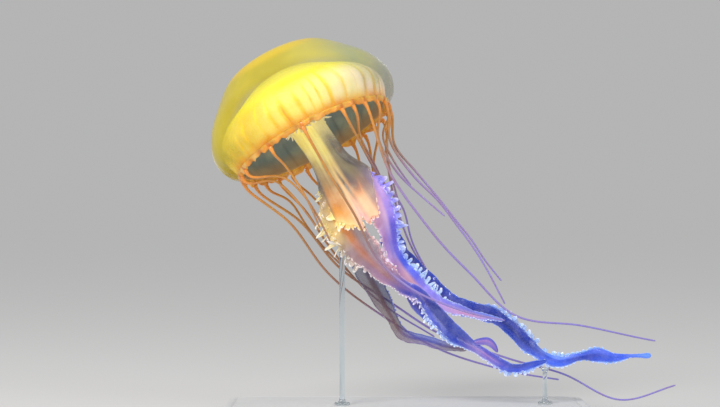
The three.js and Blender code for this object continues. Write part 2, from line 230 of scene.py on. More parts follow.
class Finish(Nodes):
    """A material under construction. Its place is the object coordinates, in metres."""

    def __init__(self, name, uniform):
        self.material = bpy.data.materials.new(name)
        self.material.use_nodes = True
        super().__init__(self.material.node_tree)
        self.shader = self.tree.nodes["Principled BSDF"]
        for socket, value in uniform.items():
            self.join(value, self.shader.inputs[socket])
        self.place = self.node("ShaderNodeTexCoord").outputs["Object"]

    def mark(self, name):
        """One of the marks that the piece's mesh carries."""
        return self.node("ShaderNodeAttribute", attribute_name=name).outputs["Fac"]

    def axis(self, name):
        """One of the coordinates of the place."""
        return self.node("ShaderNodeSeparateXYZ", {0: self.place}).outputs[name]

    def ramp(self, value, stops):
        """The colour at a value from 0 to 1, eased from each stop to the next. The stops are colours
        by their places."""
        made = self.node("ShaderNodeValToRGB", {0: value})
        made.color_ramp.interpolation = "EASE"
        elements = made.color_ramp.elements
        for at in sorted(stops)[1:-1]:
            elements.new(at)
        for element, at in zip(elements, sorted(stops)):
            element.position = at
            element.color = colour(*stops[at])
        return made.outputs[0]

    def grain(self, tint, blot_colour, blots, grains, relief):
        """The tissue group placed in this material: the tint with its blots and grains, each so many
        to the metre and so strong, and their relief in metres."""
        inputs = enumerate((self.place, tint, blot_colour, *blots, *grains))
        made = self.node("ShaderNodeGroup", inputs, node_tree=tissue_group)
        self.raise_by(made.outputs["Height"], relief)
        return made.outputs["Colour"]

    def raise_by(self, height, distance):
        """A relief of this height from low to high, in metres."""
        inputs = {"Strength": 1, "Distance": distance, "Height": height}
        self.join(self.node("ShaderNodeBump", inputs).outputs[0], self.shader.inputs["Normal"])

    def paint(self, tint, glow=None, alpha=None):
        """The finished material: the tint, the colour that it glows in, and how dense it is."""
        for socket, value in (("Base Color", tint), ("Emission Color", glow), ("Alpha", alpha)):
            if value is not None:
                self.join(value, self.shader.inputs[socket])
        return self.material


def make_tissue_group():
    """Living tissue, used by every soft piece: broad blots that shift a colour towards a second one,
    fine grains that lighten it, and a height made of both."""
    tree = bpy.data.node_groups.new("tissue", "ShaderNodeTree")
    for way, sockets in (("INPUT", {"Place": "Vector", "Colour": "Color", "Blot Colour": "Color",
                                    "Blot Scale": "Float", "Blot Amount": "Float",
                                    "Grain Scale": "Float", "Grain Amount": "Float"}),
                         ("OUTPUT", {"Colour": "Color", "Height": "Float"})):
        for name, kind in sockets.items():
            tree.interface.new_socket(name, in_out=way, socket_type="NodeSocket" + kind)
    made = Nodes(tree)
    given, result = made.node("NodeGroupInput").outputs, made.node("NodeGroupOutput").inputs
    made.place = given["Place"]
    blots, grains = made.noise(given["Blot Scale"], 4), made.noise(given["Grain Scale"], 2)
    blotted = made.times(made.ease(blots, 0.38, 0.66, kind="LINEAR"), given["Blot Amount"])
    tint = made.mix(blotted, given["Colour"], given["Blot Colour"])
    grained = made.times(made.ease(grains, 0.45, 0.75, kind="LINEAR"), given["Grain Amount"])
    made.join(made.mix(grained, tint, (255, 255, 250)), result["Colour"])
    made.join(made.work("MULTIPLY_ADD", grains, 0.35, blots), result["Height"])
    return tree


tissue_group = make_tissue_group()

JELLY_ROWS, JELLY_COLUMNS = 96, 288
LAPPETS = 32
GROOVE_DEPTH, OUT_OF_ROUND = 0.7, 0.7  # to either side of its even form
# The golden band is a painted highlight along the outline of the upstream shoulder.
LIMB_HIGHLIGHT_AXIS = (-0.464, 0, 0.886)  # square to the edge of the golden band over the upstream shoulder
LIMB_HIGHLIGHT_FROM, LIMB_HIGHLIGHT_TO = 0.391, 0.399  # where along that axis the band sets in, in metres


def jelly_surface():
    """The outside profile from crown to rim and the inside one back up, revolved. A cosine cuts a
    shallow groove up from the rim beside each lappet, and a sine of three turns puts the dome
    slightly out of round."""
    down = np.linspace(0, 1, JELLY_ROWS)
    size = [BELL_RADIUS, BELL_HEIGHT]
    outer, inner = along(OUTSIDE, down) * size, along(INSIDE, down[::-2]) * size
    radius, height, angle = revolved(np.concatenate([outer, inner]), JELLY_COLUMNS)
    within = np.concatenate([np.zeros(len(outer)), np.ones(len(inner))])[:, None]
    low = np.concatenate([down, down[::-2]])[:, None]
    groove = GROOVE_DEPTH * smoothstep(0.72, 0.98, low) * np.cos(LAPPETS * angle) * (1 - within)
    uneven = OUT_OF_ROUND * np.sin(3 * angle + 1.1) * smoothstep(0.1, 0.5, low)
    points = from_bell(np.maximum(radius + (groove + uneven) * (radius > 1), 0), angle, height)
    return points, {"within": within, "low": low}


def jelly_finish():
    """Clear and wet: olive yellow upstream, paler over the crown, bluish grey downstream, with a
    painted highlight, a golden band along the outline over the upstream shoulder. The light passes
    through more of it towards the outline, so there it's denser, and a weak sheen lightens it. It
    gives off a faint painted glow of its own colour."""
    # The emission is a painted glow: the jelly gives off a faint light in its own colour.
    made = Finish("jelly", {"Roughness": 0.3, "IOR": 1.36, "Specular IOR Level": 0.15,
                            "Coat Weight": 0.12, "Coat Roughness": 0.04, "Sheen Weight": 0.6,
                            "Sheen Roughness": 0.2, "Emission Strength": 0.16})
    tint = made.ramp(made.ease(made.axis("X"), -0.215, 0.0), {
        0: (178, 160, 28), 0.25: (176, 162, 50), 0.55: (184, 174, 82), 0.85: (156, 162, 122),
        1: (140, 148, 154),
    })
    # Painted highlight: a golden band where the upstream shoulder meets the outline, lighter than the jelly
    # round it.
    shoulder = made.node("ShaderNodeVectorMath", {0: made.place, 1: LIMB_HIGHLIGHT_AXIS}, operation="DOT_PRODUCT")
    painted_limb_highlight = made.ease(shoulder.outputs["Value"], LIMB_HIGHLIGHT_FROM, LIMB_HIGHLIGHT_TO, 0, 0.8)
    tint = made.mix(painted_limb_highlight, tint, (212, 178, 36))
    tint = made.grain(tint, (216, 200, 70), blots=(22, 0.3), grains=(1400, 0.05), relief=0.0005)
    facing = made.node("ShaderNodeLayerWeight", {"Blend": 0.5}).outputs["Facing"]
    dense = made.ease(facing, 0.18, 0.62, 0.16, 0.97)
    thin_rim = made.ease(made.mark("low"), 0.8, 0.97, 1, 0.25)
    thin_downstream = made.ease(made.axis("X"), -0.07, -0.01, 1, 0.72)
    dense = made.times(dense, made.times(thin_rim, thin_downstream))
    alpha = made.times(dense, made.ease(made.mark("within"), 0, 1, 1, 0.1))
    return made.paint(tint, glow=tint, alpha=alpha)


skin("bell_jelly", [jelly_surface()], jelly_finish(), ["bell_dome"])

# ------------------------------------------------------------------------------ the lining of the bell
# Under the jelly lies the animal's stomach and its pouches, a milky yellow sheet that falls in pleats
# to the rim, with orange between them. It's one closed sheet, pleated by moving it in along grooves.
LINING_ROWS, LINING_COLUMNS = 100, 480
LINING_THICKNESS = 3.2
LINING_GAP = 0.4  # between it and the jelly
PLEATS = 40
PLEAT_DEPTH = 2.6


def inset(profile, distance):
    """The profile moved square to itself, towards the inside of the bell."""
    slope = np.gradient(profile, axis=0)
    slope /= np.linalg.norm(slope, axis=1, keepdims=True)
    moved = profile + np.stack([slope[:, 1], -slope[:, 0]], -1) * distance
    moved[:, 0] = np.maximum(moved[:, 0], 0)
    moved[0, 0] = 0
    return moved


def bump(x, middle, width, power=2):
    """1 at the middle and falling off on both sides: e to the minus of a power of the distance over
    the width."""
    return np.exp(-((x - middle) / width) ** power)


def bump_round(angle, middle, width, power=2):
    """The same round a circle, where the distance is the sine of half the angle between."""
    return bump(np.sin((angle - middle) / 2), 0, width, power)


def pleats(angle, low):
    """From 0 in a groove to 1 on a fold, round the bell: a rounded wave, its grooves unevenly spaced,
    unevenly deep and a little crooked, that fades in below the shoulder."""
    crooked = 0.9 * np.sin(5 * angle + 0.6) + 0.5 * np.sin(11 * angle + 2)
    crooked = crooked + 0.3 * np.sin(9 * low + 3 * angle)
    wave = np.abs(np.sin(PLEATS / 2 * angle + crooked)) ** 0.6
    depth = 0.55 + 0.45 * np.sin(7 * angle + 1) * np.sin(3 * angle + 0.5)
    start = 0.55 + 0.07 * np.sin(8 * angle + 2) - 0.12 * bump_round(angle, -0.5, 0.4)
    return 1 - (1 - wave) * depth * smoothstep(start, start + 0.3, low)


def lining_surface():
    """The outer face down to the rim and the inner face back up to the crown, both moved in by the
    pleat's depth where it has a groove."""
    down = np.linspace(0, 1, LINING_ROWS)
    profile = along(INSIDE, down) * [BELL_RADIUS, BELL_HEIGHT]
    outer, inner = inset(profile, LINING_GAP), inset(profile, LINING_THICKNESS)[::-1]
    radius, height, angle = revolved(np.concatenate([outer, inner]), LINING_COLUMNS)
    low = np.concatenate([down, down[::-1]])[:, None]
    fold = pleats(angle, low)
    radius = np.maximum(radius - PLEAT_DEPTH * (1 - fold) * (radius > 8), 0)
    within = np.repeat([0, 1], len(down))[:, None]
    return from_bell(radius, angle, height), {"fold": fold, "low": low, "within": within}


def lining_finish():
    """Strong yellow over the crown, folds below with orange grooves and painted creamy highlights on
    their crests, rosy and greyer downstream, and grey inside with a few creamy blots, the grey being
    painted shade that is darker still in the grooves. A painted glow of its own colour lightens it."""
    # The emission is a painted glow: the lining gives off light of its own colour.
    made = Finish("lining", {"Roughness": 0.4, "Specular IOR Level": 0.2, "Subsurface Weight": 0.2,
                             "Subsurface Radius": (0.012, 0.008, 0.003), "Emission Strength": 0.3})
    low, fold = made.mark("low"), made.mark("fold")
    lean = made.ease(made.axis("X"), -0.19, -0.015)
    tint = made.ramp(low, {
        0: (190, 184, 88), 0.22: (204, 198, 78), 0.34: (228, 222, 66), 0.46: (253, 246, 44),
        0.66: (251, 228, 44), 0.88: (244, 200, 48), 1: (228, 142, 24),
    })
    rosy = made.ramp(low, {
        0: (206, 206, 150), 0.5: (252, 236, 190), 0.8: (214, 190, 150), 1: (226, 150, 60),
    })
    tint = made.mix(made.ease(lean, 0.72, 0.98, 0, 0.85), tint, rosy)
    # Painted highlight: the crests of the folds are lightened to cream, warmer upstream and whiter
    # downstream.
    creamy = made.ramp(lean, {
        0: (226, 190, 60), 0.35: (250, 232, 120), 0.6: (252, 240, 160), 0.8: (252, 236, 196),
        1: (250, 226, 214),
    })
    bulge = made.times(made.ease(fold, 0.6, 0.97), made.ease(low, 0.54, 0.72, 0, 0.85))
    bulge = made.times(bulge, made.ease(low, 1.0, 0.89))
    tint = made.mix(bulge, tint, creamy)
    groove = made.times(made.ease(fold, 0.6, 0.15), made.ease(low, 0.58, 0.88, 0, 0.7))
    streak = made.times(made.ease(fold, 0.8, 0.4), made.ease(low, 0.46, 0.62, 0, 0.6))
    groove = made.work("MAXIMUM", groove, made.times(streak, made.ease(lean, 0.66, 0.9)))
    tint = made.mix(groove, tint, (218, 128, 24))
    tint = made.grain(tint, (255, 248, 120), blots=(38, 0.3), grains=(700, 0.12), relief=0.0006)
    # Painted shade: the inner face, up in the hollow of the bell, is grey, and darker still in the grooves
    # of the pleats.
    inside = made.ramp(made.noise(40, 4), {
        0.4: (116, 126, 120), 0.62: (142, 148, 130), 0.85: (224, 212, 164),
    })
    inside = made.mix(made.ease(fold, 0.9, 0.4, 0, 0.5), inside, (82, 90, 90))
    inside = made.mix(made.ease(low, 0.8, 1.0, 0, 0.6), inside, (178, 124, 60))
    tint = made.mix(made.mark("within"), tint, inside)
    return made.paint(tint, glow=tint)


skin("stomach_lining", [lining_surface()], lining_finish(), ["bell_lining"])

# ------------------------------------------------------------------------------ the rim of the bell
# The rim is an orange frill of rounded lappets, thicker and darker where a tentacle leaves it. It's a
# closed band whose lower edge rises and falls round the bell.
RIM_COLUMNS = 768
BAND_RADIUS, BAND_TOP = 86.6, 1.6
BAND_DEPTH, LAPPET_DEPTH, ROOT_DEPTH = 1.6, 3.1, 1.4  # how much each adds to the rim's depth
ROOT_WIDTH = 0.03  # of a tentacle's root, in radians round the rim

# Each tentacle's clock, reach, depth and drift. The clock is where it leaves the rim, in degrees from
# the downstream side round by the front; the reach is how far down the current it ends; the depth is
# how far behind the middle its tip lies; and the drift is its distance above the middle of the
# current, at even steps from rim to tip.
TENTACLES = [
    (15, 294, 16, [70, 74, 85, 86, 82, 70, 45]),
    (28, 146, 0, [60, 61, 72, 81]),
    (42, 468, 12, [54, 60, 58, 37, 34, 20]),
    (53, 130, 20, [44, 44, 42, 38]),
    (62, 190, 36, [41, 43, 49, 38, 30]),
    (92, 296, -26, [-2, 1, -2, 7, 20, 30]),
    (119, 84, -40, [-38, -35, -35, -37]),
    (152, 100, -36, [-47, -36, -33, -34]),
    (165, 86, -30, [-56, -46, -42, -39]),
    (182, 370, 30, [-64, -55, -38, -28, -24, -25]),
    (205, 492, 24, [-54, -41, -20, -13, -10, -18, -44, -28]),
    (218, 138, 36, [-54, -50, -44, -36]),
    (231, 240, 38, [-44, -40, -34, -26, -20]),
    (243, 120, 44, [-30, -24, -20]),
    (255, 200, 34, [-14, -14, -12, -2]),
    (268, 110, 46, [0, 0, 4]),
    (281, 250, 36, [14, 18, 22, 26]),
    (294, 190, 48, [24, 22, 26]),
    (306, 300, 30, [36, 27, 26, 28, 28]),
    (318, 130, 50, [44, 38, 32]),
    (330, 220, 40, [56, 42, 32, 28]),
    (341, 110, 34, [64, 54, 46]),
    (352, 280, 28, [73, 80, 87, 89, 87, 78, 66]),
    (4, 90, 8, [66, 64, 68]),
]


def rim_surface():
    """A drop-shaped section, thick above and thin below, carried round the rim. Its depth follows the
    lappets, they curl in and out, and it swells at each tentacle by a bell-shaped bump."""
    angle = round_angles(RIM_COLUMNS)[None]
    crooked = 0.2 * np.sin(3 * angle) + 0.25 * np.sin(10 * angle + 2)
    lobe = np.abs(np.cos(LAPPETS / 2 * angle + crooked)) ** 0.6
    apart = [np.abs((angle + np.radians(row[0]) + np.pi) % (2 * np.pi) - np.pi) for row in TENTACLES]
    root = np.sum([bump(away, 0, ROOT_WIDTH) for away in apart], 0)
    depth = BAND_DEPTH + LAPPET_DEPTH * lobe + 0.7 * np.sin(23 * angle + 1) + 0.5 * np.sin(57 * angle)
    depth = depth + ROOT_DEPTH * root
    # Half the thickness and the share of the depth, from the middle of the top round by the outside.
    section = np.array([(0, 0), (2.2, 0), (2.5, .1), (1.9, .35), (1.3, .65), (0.9, .88), (0, 1),
                        (-0.9, .88), (-1.3, .65), (-1.9, .35), (-2.5, .1), (-2.2, 0)])
    out, drop = section[:, :1], section[:, 1:]
    out = out + np.sign(out) * (0.9 * root * bump(drop, 0.5, 0.4))
    curl = drop * (1.3 * np.sin(LAPPETS * angle + 1) + 0.9 * np.sin(19 * angle) - 0.6)
    points = from_bell(BAND_RADIUS + out + curl, angle, BAND_TOP - drop * (depth + BAND_TOP))
    return points, {"root": root, "drop": drop}


def rim_finish():
    """Orange, yellower above, with brown-orange roots."""
    # The emission is a painted glow: the rim gives off a little light of its own colour.
    made = Finish("rim", {"Roughness": 0.32, "Coat Weight": 0.3, "Subsurface Weight": 0.2,
                          "Subsurface Radius": (0.006, 0.003, 0.001), "Emission Strength": 0.15})
    tint = made.mix(made.ease(made.mark("drop"), 0.1, 0.6), (236, 184, 48), (228, 150, 26))
    tint = made.mix(made.ease(made.noise(60), 0.45, 0.7), tint, (244, 196, 92))
    tint = made.mix(made.ease(made.mark("root"), 0.3, 0.95, 0, 0.8), tint, (206, 112, 20))
    tint = made.grain(tint, (210, 120, 22), blots=(110, 0.6), grains=(1100, 0.1), relief=0.001)
    return made.paint(tint, glow=tint)


skin("lappet_rim", [rim_surface()], rim_finish(), ["bell_margin"], ring=True)

# ------------------------------------------------------------------------------ the current
# Everything below the bell trails down one current, a line that leaves the rim along the bell's axis
# and levels out. Arms and tentacles are placed by how far down it they are, and how far off it.
DIVE, DIVE_END = 62, 1  # its slope at the rim and at the end, in degrees below level
BEND_FROM, BEND_TO = 70, 415  # where it levels out, from the rim
CURRENT_END = 640
NOD_FADE = 120


def dive(u):
    """The slope at distance u: a smooth step from the first slope to the last."""
    return np.radians(DIVE - (DIVE - DIVE_END) * smoothstep(BEND_FROM, BEND_TO, u))


def downstream(u):
    """The direction of the current: the cosine of its slope along, the sine of it down."""
    return np.stack([np.cos(dive(u)), 0 * u, -np.sin(dive(u))], -1)


def upward(u):
    """The direction square to the current, towards its upper side."""
    return np.stack([np.sin(dive(u)), 0 * u, np.cos(dive(u))], -1)


middle = RIM_CENTRE + np.concatenate([[[0, 0, 0]], downstream(np.arange(CURRENT_END) + 0.5).cumsum(0)])


def in_current(u, drift, depth):
    """The point u down the current, drift above it and depth behind it."""
    base = np.clip(np.floor(u), 0, CURRENT_END - 1).astype(int)
    point = middle[base] + downstream(u) * (u - base)[..., None]
    point = point + upward(u) * np.asarray(drift)[..., None]
    point[..., 1] += depth
    return point


def nod_depth(u):
    """The bell's nod carries the tube towards the front, by its tangent; below the rim that fades
    along a bell curve, and the tube straightens again."""
    return -np.tan(BELL_NOD) * u * np.where(u < 0, 1, bump(np.maximum(u, 0), 0, NOD_FADE))


# ------------------------------------------------------------------------------ the mouth tube
# A thin, clear tube with four corners hangs from the roof of the bell. It's one closed wall: down the
# outside, round a wavy lip, and back up the inside.
TUBE_ROWS, TUBE_COLUMNS = 120, 180
TUBE_FROM, TUBE_TO = -70.5, 58
TUBE_WIDTH = [26, 38, 44, 43, 46, 62]
TUBE_DRIFT = [0, 0, 0, 2.5, 4, 6]
TUBE_THICKNESS = 0.78  # its depth, as a share of its width
TUBE_WALL = 0.9
FLUTING, WING = 0.1, 0.24  # its flutes' depth and its wing's spread, as shares of its width
CURTAIN = 50  # how much longer the tube is in front, between the two front arms


def tube_wall(way, angle, inner):
    """The section of four rounded corners, wider downstream near the lip, where it spreads into a wing
    towards the front right arm. Fine folds run down it, and in front it hangs lower, in two lobes."""
    front = bump_round(angle, -1.68, 0.46, power=6)
    slit = bump_round(angle, -1.57, 0.05)
    left = bump_round(angle, -2.3, 0.25)
    longer = 3 * np.sin(7 * angle + 1) + 1.5 * np.sin(17 * angle) - 4
    longer = longer + CURTAIN * front * (1 - 0.2 * slit)
    longer = smoothstep(0.7, 1, way) * (longer - 7 * left)
    u = TUBE_FROM + (TUBE_TO - TUBE_FROM) * way + longer
    half = along(TUBE_WIDTH, way) / 2 - TUBE_WALL * inner
    half = half * np.where(way == 0, 0.02, 1)
    flute = 1 - FLUTING * (1 + np.cos(4 * angle)) * smoothstep(0, 0.4, way)
    fine = 0.02 * np.sin(13 * angle + 3 * way) + 0.012 * np.sin(31 * angle - 4 * way)
    wing = WING * smoothstep(0.45, 1.1, way) * bump_round(angle, -0.25, 0.3)
    flute = flute + fine * smoothstep(0.1, 0.5, way) + wing
    across = np.cos(angle) * half * flute + along(TUBE_DRIFT, way)
    behind = np.sin(angle) * half * TUBE_THICKNESS * flute + nod_depth(u)
    return in_current(u, across, behind)


def tube_surface():
    """The wall from the roof down to the lip outside and back up inside. Its marks: side runs from the
    upstream edge to the other, milk is high in the two milky strands, and clear in the bare membrane
    along both edges and in a few lens-shaped windows."""
    down = np.linspace(0, 1, TUBE_ROWS)
    way = np.concatenate([down, down[::-1]])[:, None]
    inner = np.repeat([0, 1], len(down))[:, None]
    angle = round_angles(TUBE_COLUMNS)[None]
    side = 0.5 + 0.5 * np.cos(angle)
    milk = bump(side, 0.22 + 0.1 * way, 0.09) * smoothstep(0.86, 0.7, way)
    milk = np.maximum(milk, bump(side, 0.5 + 0.05 * np.sin(4 * way), 0.12))
    milk = milk * (0.8 + 0.2 * np.sin(60 * side + 5 * way))
    right = smoothstep(0.6, 0.72, side) * smoothstep(0.45, 0.66, way)
    right = right * np.maximum(smoothstep(0.9, 0.84, way), smoothstep(0.76, 0.86, side))
    left = smoothstep(0.15, 0.04, side) * smoothstep(0.5, 0.68, way)
    lens = bump(side, 0.4 + 0.6 * (way - 0.84), 0.035) * bump(way, 0.84, 0.025)
    lens = np.maximum(lens, bump(side, 0.57 + 0.8 * (way - 0.84), 0.045) * bump(way, 0.835, 0.045))
    lens = np.maximum(lens, 0.6 * bump(side, 0.34 + 0.3 * (way - 0.8), 0.03) * bump(way, 0.77, 0.05))
    clear = np.maximum(np.maximum(right, 0.9 * left), lens)
    return tube_wall(way, angle, inner), {"way": way, "side": side, "milk": milk, "clear": clear}


def tube_finish():
    """Milky yellow strands on thinner beige; near the lip orange upstream, pink in the middle and peach
    on the other side; grey and clear where the membrane is bare. A painted glow of its own colour
    lightens it most up under the bell, where it lies in shade, and less towards the lip."""
    made = Finish("mouth_tube", {"Roughness": 0.25, "IOR": 1.36, "Coat Weight": 0.35,
                                 "Subsurface Weight": 0.1, "Subsurface Radius": (0.005, 0.004, 0.002),
                                 "Emission Strength": 0.45})
    way, side, milk, bare = (made.mark(name) for name in ("way", "side", "milk", "clear"))
    left = made.ramp(way, {
        0: (236, 222, 110), 0.6: (226, 206, 116), 0.8: (176, 148, 106), 0.88: (206, 140, 78),
        0.94: (226, 154, 64), 1: (240, 200, 120),
    })
    centre = made.ramp(way, {
        0: (240, 226, 120), 0.6: (226, 208, 128), 0.8: (222, 190, 124), 0.86: (222, 156, 108),
        0.91: (216, 150, 138), 1: (212, 154, 172),
    })
    right = made.ramp(way, {
        0: (246, 234, 130), 0.6: (220, 204, 136), 0.8: (216, 180, 130), 0.87: (236, 168, 116),
        0.93: (246, 196, 156), 1: (246, 190, 150),
    })
    tint = made.mix(made.ease(side, 0.36, 0.48), left, centre)
    tint = made.mix(made.ease(side, 0.58, 0.68), tint, right)
    bright = made.ramp(way, {
        0: (252, 240, 120), 0.7: (254, 240, 140), 0.84: (250, 206, 146), 1: (250, 210, 190),
    })
    tint = made.mix(made.times(milk, 0.85), tint, bright)
    tint = made.mix(made.times(bare, 0.92), tint, (94, 94, 102))
    tint = made.grain(tint, (252, 244, 200), blots=(60, 0.2), grains=(900, 0.08), relief=0.0008)
    # Painted glow: the tube gives off light of its own colour, most up under the bell, weaker towards the
    # lip.
    glow = made.mix(made.ease(way, 0.55, 0.85, 0, 0.45), tint, (0, 0, 0))
    return made.paint(tint, glow=glow, alpha=made.ease(bare, 0, 1, 0.88, 0.4))


skin("mouth_tube", [tube_surface()], tube_finish(), ["manubrium"])

# ------------------------------------------------------------------------------ the oral arms
# Four arms run down from the roof as the pleats of the mouth tube, part below it and trail away. Each
# is a soft leaf folded along its midrib, with a gathered frill on both edges. The leaf is a closed
# ribbon, and each frill a narrow one whose edge is too long for it, so that it loops.

